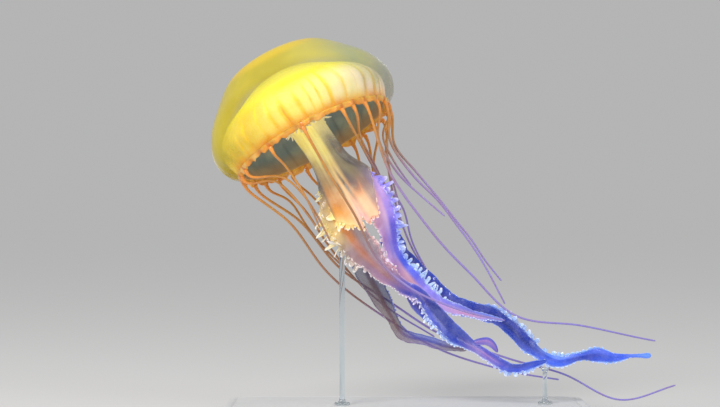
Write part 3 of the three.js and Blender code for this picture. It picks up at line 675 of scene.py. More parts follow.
# Each arm: corner is its corner of the tube, downstream and behind being 1. Its lists run at even
# steps between from and to, two distances down the current: drift and depth are where its midrib lies,
# above the current's middle and behind it, width is the leaf's, turn is its roll in degrees, and the
# frills are how far each reaches. Fold is how steeply the leaf rises from its midrib, and phase where
# its waves start. The frills start at frill_from, upper and lower, their fingers set by spacing. The
# colours run down it too, and veil is how dense the webs are near the tube and further on.
ARMS = {
    "arm_front_right": {
        "corner": (1, -1), "from": 58, "to": 296, "fold": -0.25, "phase": 0.0, "spacing": 1.1,
        "veil": (0.75, 0.8),
        "drift": [29, 30, 29.4, 26.2, 21, 15, 12.2, 11.3, 10.5, 10.4, 14.8, 19, 22.6, 26, 28.4],
        "width": [20, 21, 23, 22, 18, 15, 19, 22, 22, 19, 14, 11, 8, 5.5, 3],
        "depth": [-21, -15, -5, -7],
        "turn": [0, 5, 15, 25, 25, 30, 30, 30], "frill_from": (58, 92),
        "upper_frill": [11, 11, 8, 8.5, 8, 6.5, 6, 8, 11, 8, 2, 0.5, 0.5, 0.5, 0.3],
        "lower_frill": [4, 4, 4, 3, 3, 5, 3, 2, 4, 4, 2, 2, 1.5, 1.5, 0.5],
        "upper_web": [(200, 164, 226), (206, 170, 238), (166, 138, 232), (92, 80, 206), (100, 88, 206),
                      (62, 84, 224), (84, 98, 232), (146, 132, 236), (134, 126, 230), (120, 120, 220),
                      (110, 110, 206), (100, 116, 214), (96, 120, 220)],
        "lower_web": [(240, 186, 164), (220, 170, 202), (164, 124, 196), (190, 140, 180), (176, 150, 220),
                      (190, 140, 190), (96, 120, 220)],
        "rib": [(242, 186, 160), (222, 180, 220), (124, 106, 200), (196, 146, 170), (190, 150, 214),
                (190, 140, 180), (150, 130, 200)],
        "upper_edge": [(136, 128, 240), (150, 152, 250), (160, 184, 255), (190, 222, 255), (196, 226, 255),
                       (150, 180, 250), (120, 160, 245)],
        "lower_edge": [(250, 224, 190), (246, 206, 206), (230, 196, 216), (220, 220, 255), (196, 206, 255),
                       (170, 190, 255), (120, 160, 245)],
    },
    "arm_back_right": {
        "corner": (1, 1), "from": 58, "to": 462, "fold": 0.25, "phase": 1.7, "spacing": 1.2,
        "veil": (0.9, 0.95),
        "drift": [25, 28, 29, 26, 22, 19.5, 19.2, 21.1, 20.4, 20.7, 23.4, 27.6, 28.5, 22.7, 11.8, 1.6,
                  -4, 1.4, 4.5, 2.5, 4.3, 4.9],
        "width": [15, 15, 16, 20, 24, 26, 25, 23, 20, 18, 17, 17, 16, 15, 15, 13, 11, 8, 13, 8, 3.2, 5.4],
        "depth": [3, 14, 12, 4, 2],
        "turn": [0, 20, 30, 20, 5, -10, -15, -10, 35, -20, 15, 20], "frill_from": (60, 60),
        "upper_frill": [3, 3, 2, 0.5, 0.5, 0.5, 0.5, 0.5, 0.5, 0.5, 0.5, 1, 5.5, 5.5, 6, 5.5, 5.5, 2,
                        2.5, 0.7, 0.3, 0.3],
        "lower_frill": [3, 3, 2, 1.5, 1.3, 1.3, 1.3, 1.3, 1.3, 1.3, 1.3, 1.3, 1.3, 1.3, 1.5, 4, 2, 1.5,
                        2, 3, 0.3, 0.3],
        "upper_web": [(216, 190, 150), (120, 116, 190), (40, 60, 180), (24, 48, 160), (24, 50, 164),
                      (24, 50, 160), (24, 50, 156), (22, 46, 150), (24, 50, 160), (90, 130, 240),
                      (56, 90, 220), (44, 84, 224), (90, 140, 246)],
        "lower_web": [(216, 190, 150), (120, 116, 190), (60, 66, 190), (50, 56, 176), (90, 70, 170),
                      (120, 80, 170), (80, 70, 180), (30, 56, 170), (30, 60, 176), (60, 100, 230),
                      (40, 70, 200), (50, 90, 230), (90, 140, 246)],
        "rib": [(222, 196, 150), (150, 140, 200), (34, 62, 180), (28, 50, 150), (40, 50, 150),
                (50, 50, 146), (30, 46, 140), (18, 38, 126), (20, 42, 136), (50, 84, 210),
                (28, 56, 180), (40, 80, 210), (96, 146, 250)],
        "upper_edge": [(240, 220, 190), (150, 160, 240), (60, 100, 230), (50, 90, 220), (50, 90, 220),
                       (60, 110, 236), (70, 120, 240), (170, 200, 255), (180, 210, 255), (160, 200, 255),
                       (130, 180, 255), (120, 170, 250), (120, 170, 250)],
        "lower_edge": [(240, 220, 190), (150, 160, 240), (90, 130, 240), (110, 130, 245), (170, 160, 250),
                       (150, 160, 255), (120, 150, 250), (110, 150, 250), (120, 160, 250), (190, 216, 255),
                       (130, 170, 255), (120, 170, 255), (110, 160, 250)],
    },
    "arm_front_left": {
        "corner": (-1, -1), "from": 58, "to": 352, "fold": -0.25, "phase": 3.4, "spacing": 0.8,
        "veil": (0.6, 0.92),
        "drift": [-14, -17, -15.5, -13.5, -11.5, -8, -4.5, 0, 6.5, 4.5, 0, -4, -7, -9.5, -14, -16.9, -10.5,
                  -3.2],
        "width": [20, 27, 31, 33, 31, 23, 18, 16, 13, 15, 18, 18, 14, 9.5, 10, 9.7, 7.5, 4.5],
        "depth": [-21, -22, -20, -6],
        "turn": [0, 5, 15, 25, 25, 10, 10, 25, -15, -30], "frill_from": (96, 70),
        "upper_frill": [2, 2, 2.5, 3, 4, 7, 3, 0.5, 0.5, 0.5, 0.5, 0.5, 0.5, 0.5, 0.5, 0.5, 0.5, 0.3],
        "lower_frill": [10, 13, 13, 11, 8, 4, 1.5, 2, 5.5, 6, 6, 4.5, 1.5, 1.5, 4, 5, 4, 1],
        "upper_web": [(226, 156, 84), (180, 150, 144), (150, 130, 140), (160, 120, 150), (60, 70, 180),
                      (22, 44, 140), (26, 54, 160), (90, 84, 190), (30, 58, 180), (40, 80, 214)],
        "lower_web": [(166, 134, 100), (224, 196, 120), (164, 130, 132), (160, 116, 150), (70, 70, 170),
                      (60, 76, 190), (30, 56, 170), (120, 100, 190), (50, 80, 210), (40, 80, 214)],
        "rib": [(232, 160, 62), (228, 148, 60), (170, 106, 78), (152, 102, 106), (110, 90, 170),
                (24, 42, 136), (24, 46, 146), (140, 104, 180), (36, 64, 190), (60, 90, 216)],
        "upper_edge": [(248, 216, 170), (236, 200, 196), (220, 170, 180), (120, 130, 230), (76, 112, 236),
                       (90, 130, 245), (110, 150, 250)],
        "lower_edge": [(250, 236, 176), (246, 230, 168), (206, 196, 180), (204, 176, 186), (214, 190, 220),
                       (200, 220, 255), (170, 200, 255), (190, 200, 250), (170, 200, 255), (130, 170, 250)],
    },
    "arm_back_left": {
        "corner": (-1, 1), "from": 58, "to": 272, "fold": 0.25, "phase": 5.1, "spacing": 1,
        "veil": (0.4, 0.5),
        "drift": [-8, -13, -18, -18, -18, -21, -25, -30.7, -36, -26.5, -21.1, -14.7],
        "width": [20, 22, 24, 24, 24, 22, 19, 12, 12, 12, 9, 3],
        "depth": [3, 12, 15, 12],
        "turn": [0, 20, 20, 10, 20, 30, 30], "frill_from": (60, 60),
        "upper_frill": [2, 2, 1.5, 1.3, 1.3, 1.3, 1.5, 2, 1, 0.5, 0.5, 0.3],
        "lower_frill": [2, 2, 1, 0.5, 0.5, 0.5, 0.5, 0.5, 1, 0.5, 0.5, 0.3],
        "upper_web": [(220, 186, 130), (150, 130, 130), (70, 78, 110), (60, 72, 120), (96, 80, 96),
                      (60, 90, 200), (110, 90, 110)],
        "lower_web": [(220, 186, 130), (150, 130, 130), (76, 84, 120), (96, 76, 88), (110, 84, 90),
                      (110, 90, 150), (110, 90, 110)],
        "rib": [(226, 190, 130), (160, 140, 130), (60, 68, 100), (96, 72, 80), (110, 78, 84),
                (70, 80, 170), (120, 92, 100)],
        "upper_edge": [(240, 226, 180), (196, 180, 186), (110, 130, 180), (110, 130, 200), (120, 130, 220),
                       (96, 120, 240), (130, 110, 150)],
        "lower_edge": [(240, 226, 180), (196, 180, 186), (110, 130, 180), (120, 110, 150), (130, 104, 120),
                       (130, 110, 200), (130, 110, 150)],
    },
}

# Scraps of leaf beside an arm, in its piece: a torn membrane, and a curl of mauve tissue.
SCRAPS = {
    "arm_front_left": [
        {"from": 180, "to": 232, "fold": 0.2, "phase": 0.5, "drift": [2, 0, -3, -6, -9],
         "width": [5, 11, 12, 8, 3], "depth": [-15, -14, -12], "turn": [0, 10, 20]},
        {"from": 272, "to": 300, "fold": 0.3, "phase": 2.5, "drift": [-5, 0, 3, 1, -5],
         "width": [4, 7, 8, 7, 3], "depth": [-16, -17, -14], "turn": [0, 20, 10]},
    ],
}
ROOF = -64  # where the arms start, up in the bell
PART_FROM, PART_TO = 20, 85  # the corner of the tube turns into the free arm
TUBE_CORNER = 0.4  # of the tube's half width, from its middle to a leaf's
TUBE_FOLD = 0.6
LEAF_COLUMNS = 17
LEAF_THICKNESS = 1.5
FRILL_THICKNESS = 0.7
RUFFLE_LENGTH = 32
BROAD_WAVE, FINE_WAVE = 0.2, 0.06  # how high a leaf's waves are, as shares of its half width
CLUMP_LENGTH = 23
GAP_SHARE = 0.26  # of the room each finger of a frill takes
FINGER_STEPS = 9  # along a finger, and two more for each millimetre that it reaches, up to six


def unit(vectors):
    """The vectors, each divided by its own length."""
    return vectors / np.maximum(np.linalg.norm(vectors, axis=-1, keepdims=True), 1e-9)


def blend(a, b, share):
    """a where the share is 0, b where it's 1, and in a straight line between."""
    return a + (b - a) * share


def share_of_arm(arm, u):
    """How far down the arm's own lists the distance u is, from 0 to 1."""
    return (u - arm["from"]) / (arm["to"] - arm["from"])


def arm_frame(arm, u):
    """For each distance u: the midrib's point, the directions across and behind it, the half width,
    how folded the leaf is, and how free of the tube. Above the rim they follow the tube's corner,
    below it the arm's own lists, with an easy change between them."""
    t = share_of_arm(arm, u)
    tube_t = (u - TUBE_FROM) / (TUBE_TO - TUBE_FROM)
    side, back = arm["corner"]
    free = smoothstep(PART_FROM, PART_TO, u)
    half = along(TUBE_WIDTH, tube_t) / 2
    corner_drift = along(TUBE_DRIFT, tube_t) + side * TUBE_CORNER * half
    corner_depth = nod_depth(u) + back * TUBE_CORNER * TUBE_THICKNESS * half
    drift = blend(corner_drift, along(arm["drift"], t), free)
    depth = blend(corner_depth, along(arm["depth"], t), free)
    roll = np.radians(blend(-45 * side * back, along(arm["turn"], t), free))
    width = blend(1.05 * half, along(arm["width"], t), free) / 2
    fold = blend(-TUBE_FOLD * back, arm["fold"], free)
    centre = in_current(u, drift, depth)
    down = unit(np.gradient(centre, u, axis=0))
    across = upward(u) * np.cos(roll)[:, None] + np.sin(roll)[:, None] * np.array([0, 1, 0])
    across = unit(across - (across * down).sum(-1, keepdims=True) * down)
    return centre, across, np.cross(across, down), width, fold, free


def tip_round(u, start, end, reach):
    """1 along the arm, falling to 0 at both ends on a quarter circle of that reach."""
    near = np.clip(np.minimum(u - start, end - u) / reach, 0, 1)
    return np.sqrt(1 - (1 - near) ** 2)


def leaf_points(arm, u, q, start=ROOF):
    """The leaf at each distance u and each place q across it, from -1 to 1. It rises from its midrib
    by the fold, and waves towards its edges, broadly and then finely."""
    centre, across, behind, width, fold, free = arm_frame(arm, u)
    u, width, fold, free = (values[:, None] for values in (u, width, fold, free))
    half = np.maximum(width, 1.5) * tip_round(u, start, arm["to"], 4) + 0.2
    rib = np.sqrt(q**2 + 0.03) - 0.17
    broad = BROAD_WAVE * free * q**2 * np.sin(2 * np.pi * u / RUFFLE_LENGTH + arm["phase"] + q)
    fine = FINE_WAVE * np.abs(q) ** 3 * np.sin(u / 1.9 + 3 * np.sin(u / 17) + 2 * q)
    lift = half * (fold * rib + broad + fine)
    return centre[:, None] + across[:, None] * (q * half)[..., None] + behind[:, None] * lift[..., None]


def shell(points, thickness, marks):
    """A patch from an open grid: it's moved both ways along its own normals, and each row runs up one
    side and back down the other, as its marks do."""
    shape = points.shape[:2]
    normal = unit(np.cross(np.gradient(points, axis=0), np.gradient(points, axis=1)))
    half = normal * np.broadcast_to(thickness, shape)[..., None] / 2
    sides = [np.broadcast_to(values, shape) for values in marks.values()]
    marks = dict(zip(marks, (np.concatenate([values, values[:, ::-1]], 1) for values in sides)))
    return np.concatenate([points + half, (points - half)[:, ::-1]], 1), marks


def leaf_patch(arm, leaf):
    """The leaf of an arm, or a scrap beside it, which takes its colours from the arm's own run. It's
    thickest along its midrib, and thins by the square of the way across."""
    start = leaf["from"] if leaf["from"] > PART_TO else ROOF
    q = np.linspace(-1, 1, LEAF_COLUMNS)
    u = np.append(np.arange(start, leaf["to"], 1.0), leaf["to"])
    return shell(leaf_points({**arm, **leaf}, u, q, start), LEAF_THICKNESS * (1 - 0.5 * q**2), {
        "way": np.clip(share_of_arm(arm, u), 0, 1)[:, None], "across": np.abs(q), "upper": q > 0,
        "high": smoothstep(66, 42, u)[:, None]})


def ruffle(base, down, out, reach, phase, length):
    """A gathered strip along a base line: a row of fingers with round heads, one to each turn of the
    phase, with a gap at its start and end. A finger's reach follows the square root of a turn of the
    cosine, its sides bulge by the sine, and it leans to the other side than its neighbour."""
    w = np.linspace(-0.15, 1, 7)
    out = unit(out - (out * down).sum(-1, keepdims=True) * down)
    swing = np.cross(down, out)
    reach, phase = reach[:, None], phase[:, None]
    length = np.broadcast_to(length, len(base))[:, None]
    rising = np.maximum(w, 0)
    finger = 2 * np.pi * np.clip((phase / (2 * np.pi) % 1 - GAP_SHARE / 2) / (1 - GAP_SHARE), 0, 1)
    lobe = np.maximum(0.5 - 0.5 * np.cos(finger), 1e-4) ** 0.5
    uneven = 0.84 + 0.16 * np.sin(0.37 * phase) + 0.14 * np.sin(0.81 * phase + 1)
    uneven = uneven + 0.1 * np.sin(0.23 * phase)
    outward = reach * w * (0.12 + 0.88 * lobe * uneven)
    bulge = -0.16 * length * rising**1.5 * np.sin(finger)
    aside = reach * (0.5 * rising**1.2 * np.sin(phase / 2) * uneven - 0.3 * rising**3 * lobe)
    points = (base[:, None] + out[:, None] * outward[..., None] + swing[:, None] * aside[..., None]
              + down[:, None] * bulge[..., None])
    across = 1 + rising * (0.5 + 0.5 * lobe)
    return shell(points, FRILL_THICKNESS * (0.7 + 0.6 * rising**3), {"across": across})


def frill_patch(arm, side, layer=0):
    """One frill: its lobes are longer where it reaches further, and it's sampled evenly in phase. The
    second layer stands a little further in, and only where the first reaches far."""
    step = 0.1
    fine = np.arange(PART_FROM, arm["to"] - 0.5, step)

    def reach_at(u):
        return along(arm["upper_frill" if side > 0 else "lower_frill"], share_of_arm(arm, u))

    reach = reach_at(fine)
    length = np.where(reach < 1, 6, arm["spacing"] * (1.6 + 0.75 * np.minimum(reach, 4)))
    jitter = 0.9 * np.sin(fine / 7.3 + arm["phase"] + 2 * layer)
    jitter = jitter + 1.5 * np.sin(fine / 13 + 3 * layer + side)
    phase = (2 * np.pi / length * step).cumsum() + jitter + 0.5 * np.sin(fine / 3.1)
    samples = (np.gradient(phase) / (2 * np.pi) * (FINGER_STEPS + 2 * np.clip(reach, 0, 6))).cumsum()
    u = np.interp(np.arange(samples[0], samples[-1]), samples, fine)
    if layer:
        wanted = u[reach_at(u) > 4]
        if not len(wanted):
            return None
        u = u[(u >= wanted[0]) & (u <= wanted[-1])]
    edge = leaf_points(arm, u, side * np.array([0.86 - 0.16 * layer, 0.99 - 0.16 * layer]))
    start = arm["frill_from"][side < 0]
    free = smoothstep(start, start + 12, u)
    reach = reach_at(u)
    clump = 1 + 0.28 * smoothstep(4, 8, reach) * np.sin(2 * np.pi * u / CLUMP_LENGTH + arm["phase"])
    reach = (smoothstep(0.8, 1.5, reach) * reach if layer == 0 else 0.75 * (reach - 4)) * free * clump
    reach = np.maximum(reach, 0) * tip_round(u, PART_FROM, arm["to"], 5) + 0.15
    down = unit(np.gradient(edge[:, 1], axis=0))
    points, marks = ruffle(edge[:, 1], down, edge[:, 1] - edge[:, 0], reach, np.interp(u, fine, phase),
                           np.interp(u, fine, length))
    way = np.clip(share_of_arm(arm, u), 0, 1)[:, None]
    return points, {**marks, "way": way, "high": 0, "upper": side > 0}


def arm_finish(name, arm):
    """Yellow and milky up in the tube, then the arm's own run of colours, apart for the midrib, the
    web between it and the edge, and the frill on either side."""
    # The emission is a painted glow: the arms and mouth frills give off light of their own colours.
    made = Finish(name, {"Roughness": 0.25, "IOR": 1.36, "Coat Weight": 0.4, "Coat Roughness": 0.08,
                         "Subsurface Weight": 0.15, "Subsurface Radius": (0.005, 0.004, 0.006),
                         "Emission Strength": 0.2})
    way, across = made.mark("way"), made.mark("across")

    def run(shades):
        return made.ramp(way, dict(zip(np.linspace(0, 1, len(shades)), shades)))

    edges = made.mix(made.mark("upper"), run(arm["lower_edge"]), run(arm["upper_edge"]))
    webs = made.mix(made.mark("upper"), run(arm["lower_web"]), run(arm["upper_web"]))
    leaf = made.mix(made.ease(across, 0.05, 0.5), run(arm["rib"]), webs)
    leaf = made.mix(made.ease(across, 0.75, 1.3, 0, 0.85), leaf, edges)
    leaf = made.mix(made.ease(across, 1.5, 2.0, 0, 0.6), leaf, (250, 250, 255))
    tube_part = made.mix(made.ease(across, 0.2, 0.8), (236, 220, 146), (132, 130, 126))
    tint = made.mix(made.mark("high"), leaf, tube_part)
    tint = made.grain(tint, (222, 222, 255), blots=(80, 0.08), grains=(1000, 0.07), relief=0.0006)
    web = made.ease(way, 0.25, 0.5, *arm["veil"])
    rib = made.times(made.ease(across, 0.05, 0.45, 0.7, 0), made.work("SUBTRACT", 1, web))
    alpha = made.work("MAXIMUM", made.work("ADD", web, rib), made.ease(across, 0.75, 1.0, 0, 0.9))
    return made.paint(tint, glow=tint, alpha=alpha)


for name, arm in ARMS.items():
    patches = [leaf_patch(arm, leaf) for leaf in [arm, *SCRAPS.get(name, [])]]
    patches += filter(None, [frill_patch(arm, side, layer) for side in (1, -1) for layer in (0, 1)])
    finish = arm_finish("oral_" + name, arm)
    skin("oral_" + name, patches, finish, [f"{name}_{k}" for k in (1, 2, 3)])

# ------------------------------------------------------------------------------ the frills of the mouth
# The lip of the tube is gathered into a frill of its own, longest upstream and under the middle of its
# front. A smaller one, of cream-coloured threads, stands round the tube's upper end. Both are closed
# rings of the same tissue as the arms, grown from the tube's wall.
LOBE_STEPS = 24
LIP_LOBES = 80
LIP_LOBE_LENGTH = 3.4
LIP_REACH, LACE_REACH = 2.2, 6  # how far their lobes reach, before waves and bumps
LACE_LOBES = 44
LACE_LOBE_LENGTH = 2.7
LACE_FROM, LACE_RADIUS = -19, 19
LACE_RISE, LACE_SPREAD = 8, 3  # how its threads stand: so far down the current and outwards


def round_ruffle(base, out, reach, phase, length, way):
    """A ruffle on a closed line. The direction along it is that from the last point to the next."""
    down = unit(np.roll(base, -1, 0) - np.roll(base, 1, 0))
    points, marks = ruffle(base, down, out, reach, phase, length)
    return points, {**marks, "way": way, "high": 0, "upper": 0}


def lip_frill():
    """A ruffle round the end of the tube's wall, going on in the wall's own direction. Its reach is
    even, with a bump upstream and one in front, and fades beside the front right arm."""
    angle = round_angles(LIP_LOBES * LOBE_STEPS)
    edge = np.stack([tube_wall(np.full(angle.shape, way), angle, 0.5) for way in (0.97, 1.0)])
    reach = LIP_REACH + 7 * bump_round(angle, -2.6, 0.27) + 2.6 * bump_round(angle, -1.2, 0.12)
    reach = reach * (1 - 0.9 * bump_round(angle, -0.2, 0.36))
    reach = reach * smoothstep(0.9, 1.8, reach) + 0.1
    phase = LIP_LOBES * angle + 1.2 * np.sin(5 * angle) + 0.8 * np.sin(9 * angle + 1)
    way = 0.5 + 0.5 * np.cos(angle)[:, None]
    return round_ruffle(edge[1], edge[1] - edge[0], reach, phase, LIP_LOBE_LENGTH, way)


def lace():
    """A ruffle on a circle round the tube, its threads leaning outwards and down the current."""
    angle = round_angles(LACE_LOBES * LOBE_STEPS)

    def circle(u, radius):
        u = u + 0 * angle
        return in_current(u, radius * np.cos(angle), radius * np.sin(angle) + nod_depth(u))

    base = circle(LACE_FROM, LACE_RADIUS)
    out = circle(LACE_FROM + LACE_RISE, LACE_RADIUS + LACE_SPREAD) - base
    reach = LACE_REACH + 2 * np.sin(4 * angle + 2)
    return round_ruffle(base, out, reach, LACE_LOBES * angle, LACE_LOBE_LENGTH, 0)


CURTAIN_WEB = [(244, 208, 120), (238, 190, 120), (226, 164, 150), (240, 190, 152)]
CURTAIN_EDGE = [(252, 238, 160), (248, 212, 130), (236, 176, 140), (248, 210, 180)]
curtain = {"veil": (0.8, 0.8), "rib": CURTAIN_WEB, "upper_web": CURTAIN_WEB, "lower_web": CURTAIN_WEB,
           "upper_edge": CURTAIN_EDGE, "lower_edge": CURTAIN_EDGE}
skin("mouth_frills", [lip_frill(), lace()], arm_finish("mouth_frills", curtain), ring=True)

# ------------------------------------------------------------------------------ the tentacles
# Thin, solid threads of muscle that leave the rim between its lappets. Each is one tube, swollen and
# orange where it leaves the rim, and it thins and turns brown, then violet, towards a blunt tip.
TENTACLE_WIDTH = [3.0, 2.5, 2.2, 1.8]
TENTACLE_SIDES = 12
TENTACLE_STEP = 1.2
ROOT_SWELLING = 0.9
WAVER = 0.5  # how far it wavers to either side
ROOT_TOP, ROOT_END = -2.7, -11.7  # it runs straight down between these heights under the rim
LONG_TENTACLE = 140  # from this reach on, its solid comes in two lengths
SOFTENING = 12  # how many points on either side a bend is softened over


def through(points, spacing):
    """Points at even distances along a smooth curve through the given ones: cubics blended three
    times over, and timed by the square root of the distances, so that close points make no kink."""
    points = np.asarray(points)
    p = np.concatenate([2 * points[:1] - points[1:2], points, 2 * points[-1:] - points[-2:-1]])
    knot = np.concatenate([[0], np.sqrt(np.linalg.norm(np.diff(p, axis=0), axis=1)).cumsum()])
    at = np.linspace(knot[1], knot[-2], 60 * len(points))
    i = np.clip(np.searchsorted(knot, at, side="right") - 1, 1, len(p) - 3)
    at = at[:, None]
    k = [knot[i + n][:, None] for n in (-1, 0, 1, 2)]
    level = [p[i + n] for n in (-1, 0, 1, 2)]
    for spans in ([(0, 1), (1, 2), (2, 3)], [(0, 2), (1, 3)], [(1, 2)]):
        level = [(level[n] * (k[b] - at) + level[n + 1] * (at - k[a])) / (k[b] - k[a])
                 for n, (a, b) in enumerate(spans)]
    line = level[0]
    run = np.concatenate([[0], np.linalg.norm(np.diff(line, axis=0), axis=1).cumsum()])
    even = np.linspace(0, run[-1], int(run[-1] / spacing) + 1)
    return np.stack([np.interp(even, run, line[:, axis]) for axis in range(3)], -1), even


def tube(path, radius, sides):
    """A round section carried square along a path."""
    down = unit(np.gradient(path, axis=0))
    side = unit(np.cross([0, 1, 0], down))
    other = np.cross(side, down)
    angle = round_angles(sides)[None, :, None]
    spoke = side[:, None] * np.cos(angle) + other[:, None] * np.sin(angle)
    return path[:, None] + radius[:, None, None] * spoke


def eased(path):
    """The path with its bends softened: each point is the mean of its neighbours, weighted by a bell
    curve, and the line is carried on straight past both ends, so that they stay in place."""
    n = SOFTENING
    weight = bump(np.arange(-n, n + 1), 0, 5)
    longer = np.concatenate([2 * path[0] - path[n:0:-1], path, 2 * path[-1] - path[-2:-n - 2:-1]])
    lines = [np.convolve(longer[:, axis], weight / weight.sum(), "valid") for axis in range(3)]
    return np.stack(lines, -1)


def tentacle_surface(number, clock, reach, depth, drift):
    """Straight out of the rim, then through its stations down the current, with a slight waver. Its
    depth eases from the root's to the tip's, and a bell curve swells its root."""
    clock = -np.radians(clock)
    root, dropped = (from_bell(RIM_RADIUS, clock, height) for height in (ROOT_TOP, ROOT_END))
    v = np.arange(1, len(drift) + 1) / len(drift)
    u = blend(RIM_RADIUS * np.sin(clock) * np.sin(BELL_NOD), reach, v)
    depth = blend(depth, root[1], (1 - v) ** 2.2)
    path, run = through([root, dropped, *in_current(u, drift, depth)], TENTACLE_STEP)
    waver = np.stack([0 * run, np.sin(run / 23 + number), np.cos(run / 19 + 2 * number)], -1)
    path = eased(path + WAVER * waver * smoothstep(10, 60, run)[:, None])
    radius = along(TENTACLE_WIDTH, run / run[-1]) / 2 + ROOT_SWELLING * bump(run, 0, 7)
    radius = radius * (1 + 0.035 * np.sin(run * 1.7 + number)) * tip_round(run, -9, run[-1], 2.4)
    violet = smoothstep(-55, 0, path[:, 0])
    marks = {"run": run[:, None] / 400, "violet": violet[:, None]}
    return tube(path, radius, TENTACLE_SIDES), marks


def tentacle_finish():
    """Orange at the root, then brown and mauve; on the downstream side it soon turns violet."""
    # The emission is a painted glow: the tentacles give off a little light of their own colour.
    made = Finish("tentacle", {"Roughness": 0.3, "Coat Weight": 0.4, "Subsurface Weight": 0.15,
                               "Subsurface Radius": (0.003, 0.002, 0.002), "Emission Strength": 0.12})
    run, violet = made.mark("run"), made.mark("violet")
    warm = made.ramp(run, {
        0: (236, 146, 30), 0.12: (214, 146, 46), 0.25: (168, 116, 66), 0.42: (134, 94, 86),
        0.7: (120, 90, 110), 1: (120, 96, 128),
    })
    cool = made.ramp(run, {
        0: (236, 146, 30), 0.06: (208, 146, 58), 0.13: (164, 130, 120), 0.24: (152, 130, 190),
        0.6: (140, 126, 206), 1: (128, 120, 204),
    })
    tint = made.mix(violet, warm, cool)
    tint = made.grain(tint, (150, 90, 60), blots=(160, 0.25), grains=(1600, 0.12), relief=0.0004)
    return made.paint(tint, glow=tint)


finish = tentacle_finish()
for number, row in enumerate(TENTACLES, 1):
    node = f"tentacle_{number:02d}"
    nodes = [node] if row[1] < LONG_TENTACLE else [node + "_upper", node + "_lower"]
    skin(f"thread_{number:02d}", [tentacle_surface(number, *row)], finish, nodes)

# ------------------------------------------------------------------------------ the stand
# A slab of satin white plastic with a fine groove round its top, and two clear acrylic rods: one
# reaches up into the mouth tube, and the other ends in a small dish under the longest arm.
base_low, base_high = (np.array(corner) * 1000 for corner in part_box("stand_base"))
BASE_CORNER = 24
SLAB_COLUMNS, ROD_COLUMNS = 160, 48
ROD_SINK = 1  # how far a rod goes down into the base

# The tops of the two rods, from the shank up: how far out from it, and how far below the very top.
DOME = [(0, 3), (-0.3, 1.2), (-1, 0.35), (-2, 0.05), (-2.9, 0)]
DISH = [(0, 6), (0.6, 3.6), (2, 1.6), (2.6, 0.6), (2.3, 0.1), (1.2, 0.7), (-0.6, 1.4), (-2.45, 1.6)]


def slab_surface():
    """Rounded rectangles stacked by inset and height, closed at the middle below and above."""
    height = base_high[2]
    rows = np.array([(40, 0), (6, 0), (1.5, 0), (0.4, 0.4), (0, 1.5), (0, height - 1.5),
                     (0.4, height - 0.4), (1.5, height), (8, height), (8.3, height - 0.5),
                     (9.2, height - 0.5), (9.5, height), (12, height), (20, height), (40, height)])
    inset_by, up = rows[:, :1], rows[:, 1:]
    angle = round_angles(SLAB_COLUMNS, 0.5)[None]
    corner = np.maximum(BASE_CORNER - inset_by, 1)
    half = (base_high - base_low) / 2
    x = np.sign(np.cos(angle)) * (half[0] - inset_by - corner) + corner * np.cos(angle)
    y = np.sign(np.sin(angle)) * (half[1] - inset_by - corner) + corner * np.sin(angle)
    return np.stack([x, y, np.broadcast_to(up, x.shape)], -1), {}


def rod_surface(node, top_rows):
    """A turned rod over its node: a filleted foot, a straight shank and the given top."""
    low, high = (np.array(corner) * 1000 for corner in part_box(node))
    shank = (high[0] - low[0]) / 2
    foot = base_high[2] - ROD_SINK
    rows = [(0.01, foot), (shank + 5, foot), (shank + 5, foot + 3.4), (shank + 4.4, foot + 4),
            (shank + 1.6, foot + 4.2), (shank + 0.5, foot + 5.4), (shank, foot + 8)]
    rows += [(shank, z) for z in np.linspace(foot + 10, high[2] - 9, 12)]
    rows += [(shank + out, high[2] - below) for out, below in top_rows]
    rows = np.array(rows)
    radius, z = rows[:, :1], rows[:, 1:]
    angle = round_angles(ROD_COLUMNS)[None]
    x, y = (low[0] + high[0]) / 2, (low[1] + high[1]) / 2
    x, y, z = np.broadcast_arrays(x + radius * np.cos(angle), y + radius * np.sin(angle), z)
    return np.stack([x, y, z], -1), {}


def base_finish():
    """Satin white, with a faint cloudiness and very fine moulding grain."""
    made = Finish("stand_base", {"Roughness": 0.38, "Coat Weight": 0.15})
    tint = made.grain((226, 228, 230), (212, 215, 219), blots=(14, 0.5), grains=(2200, 0.2),
                      relief=0.0002)
    made.join(made.ease(made.noise(30), 0.3, 0.7, 0.32, 0.46), made.shader.inputs["Roughness"])
    return made.paint(tint)


def rod_finish():
    """Polished clear acrylic, faintly and unevenly blue, with the finest of scratches up its length."""
    made = Finish("stand_rod", {"Roughness": 0.04, "IOR": 1.49, "Transmission Weight": 1.0})
    made.raise_by(made.noise(500, 2, (1, 1, 0.02)), 0.00003)
    faint_blue = made.ease(made.noise(45, 2), 0.35, 0.65)
    return made.paint(made.mix(faint_blue, (240, 248, 251), (230, 241, 247)))


skin("stand_base_slab", [slab_surface()], base_finish(), ["stand_base"])
finish = rod_finish()
for node, top in (("stand_rod_bell", DOME), ("stand_rod_arms", DISH)):
    skin(node + "_turned", [rod_surface(node, top)], finish, [node])

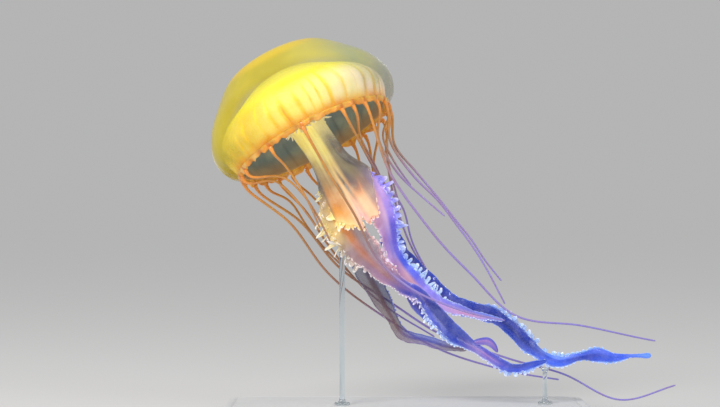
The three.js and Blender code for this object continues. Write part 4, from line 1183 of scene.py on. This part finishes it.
# ------------------------------------------------------------------------------ floor, light, camera
# A wide, matt, pale floor under an even pale sky, a large soft light high on the left in front, a
# weaker one on the right, and the camera level with the middle of the animal. The floor gives off
# as much light as its paint keeps from the sky, so the two meet without an edge.
SKY = 0.46
FLOOR_PAINT = 0.45
FLOOR_HALF = 12  # in metres
FLOOR_HEIGHT = -0.0002  # just under the stand
corners = [(-1, -1), (1, -1), (1, 1), (-1, 1)]
floor_mesh = bpy.data.meshes.new("floor")
floor_mesh.from_pydata([(x * FLOOR_HALF, y * FLOOR_HALF, FLOOR_HEIGHT) for x, y in corners], [],
                       [range(4)])
floor = bpy.data.objects.new("floor", floor_mesh)
bpy.context.scene.collection.objects.link(floor)
pale = Finish("floor", {"Roughness": 0.9, "Specular IOR Level": 0.0,
                        "Emission Strength": SKY * (1 - FLOOR_PAINT)})
paint, shade = ((FLOOR_PAINT * share,) * 3 + (1,) for share in (1, 0.985))
floor_mesh.materials.append(pale.paint(pale.mix(pale.noise(2.5), paint, shade), glow=(1, 1, 1, 1)))

world = bpy.data.worlds.new("studio")
world.use_nodes = True
world.node_tree.nodes["Background"].inputs[0].default_value = (SKY, SKY, SKY, 1)
bpy.context.scene.world = world


def soft_light(name, place, aim, size, power, tint):
    """A square area light turned to face the aim."""
    lamp = bpy.data.lights.new(name, "AREA")
    lamp.size, lamp.energy, lamp.color = size, power, tint
    holder = bpy.data.objects.new(name, lamp)
    holder.location = place
    away = Vector(place) - Vector(aim)
    holder.rotation_euler = away.to_track_quat("Z", "Y").to_euler()
    bpy.context.scene.collection.objects.link(holder)


soft_light("key", (-1.1, -1.6, 1.7), (-0.05, 0, 0.25), 1.0, 44, (1, 0.98, 0.95))
soft_light("fill", (2.3, -2.3, 1.5), (0.05, 0, 0.2), 1.4, 20, (0.95, 0.97, 1))

CAMERA_PLACE = (-0.04935, -2.1, 0.2225)
camera_data = bpy.data.cameras.new("camera")
camera_data.lens, camera_data.sensor_width = 100, 36
camera = bpy.data.objects.new("camera", camera_data)
camera.location = CAMERA_PLACE
camera.rotation_euler = (np.pi / 2, 0, 0)
bpy.context.scene.collection.objects.link(camera)
bpy.context.scene.camera = camera
bpy.context.scene.view_settings.view_transform = "Standard"
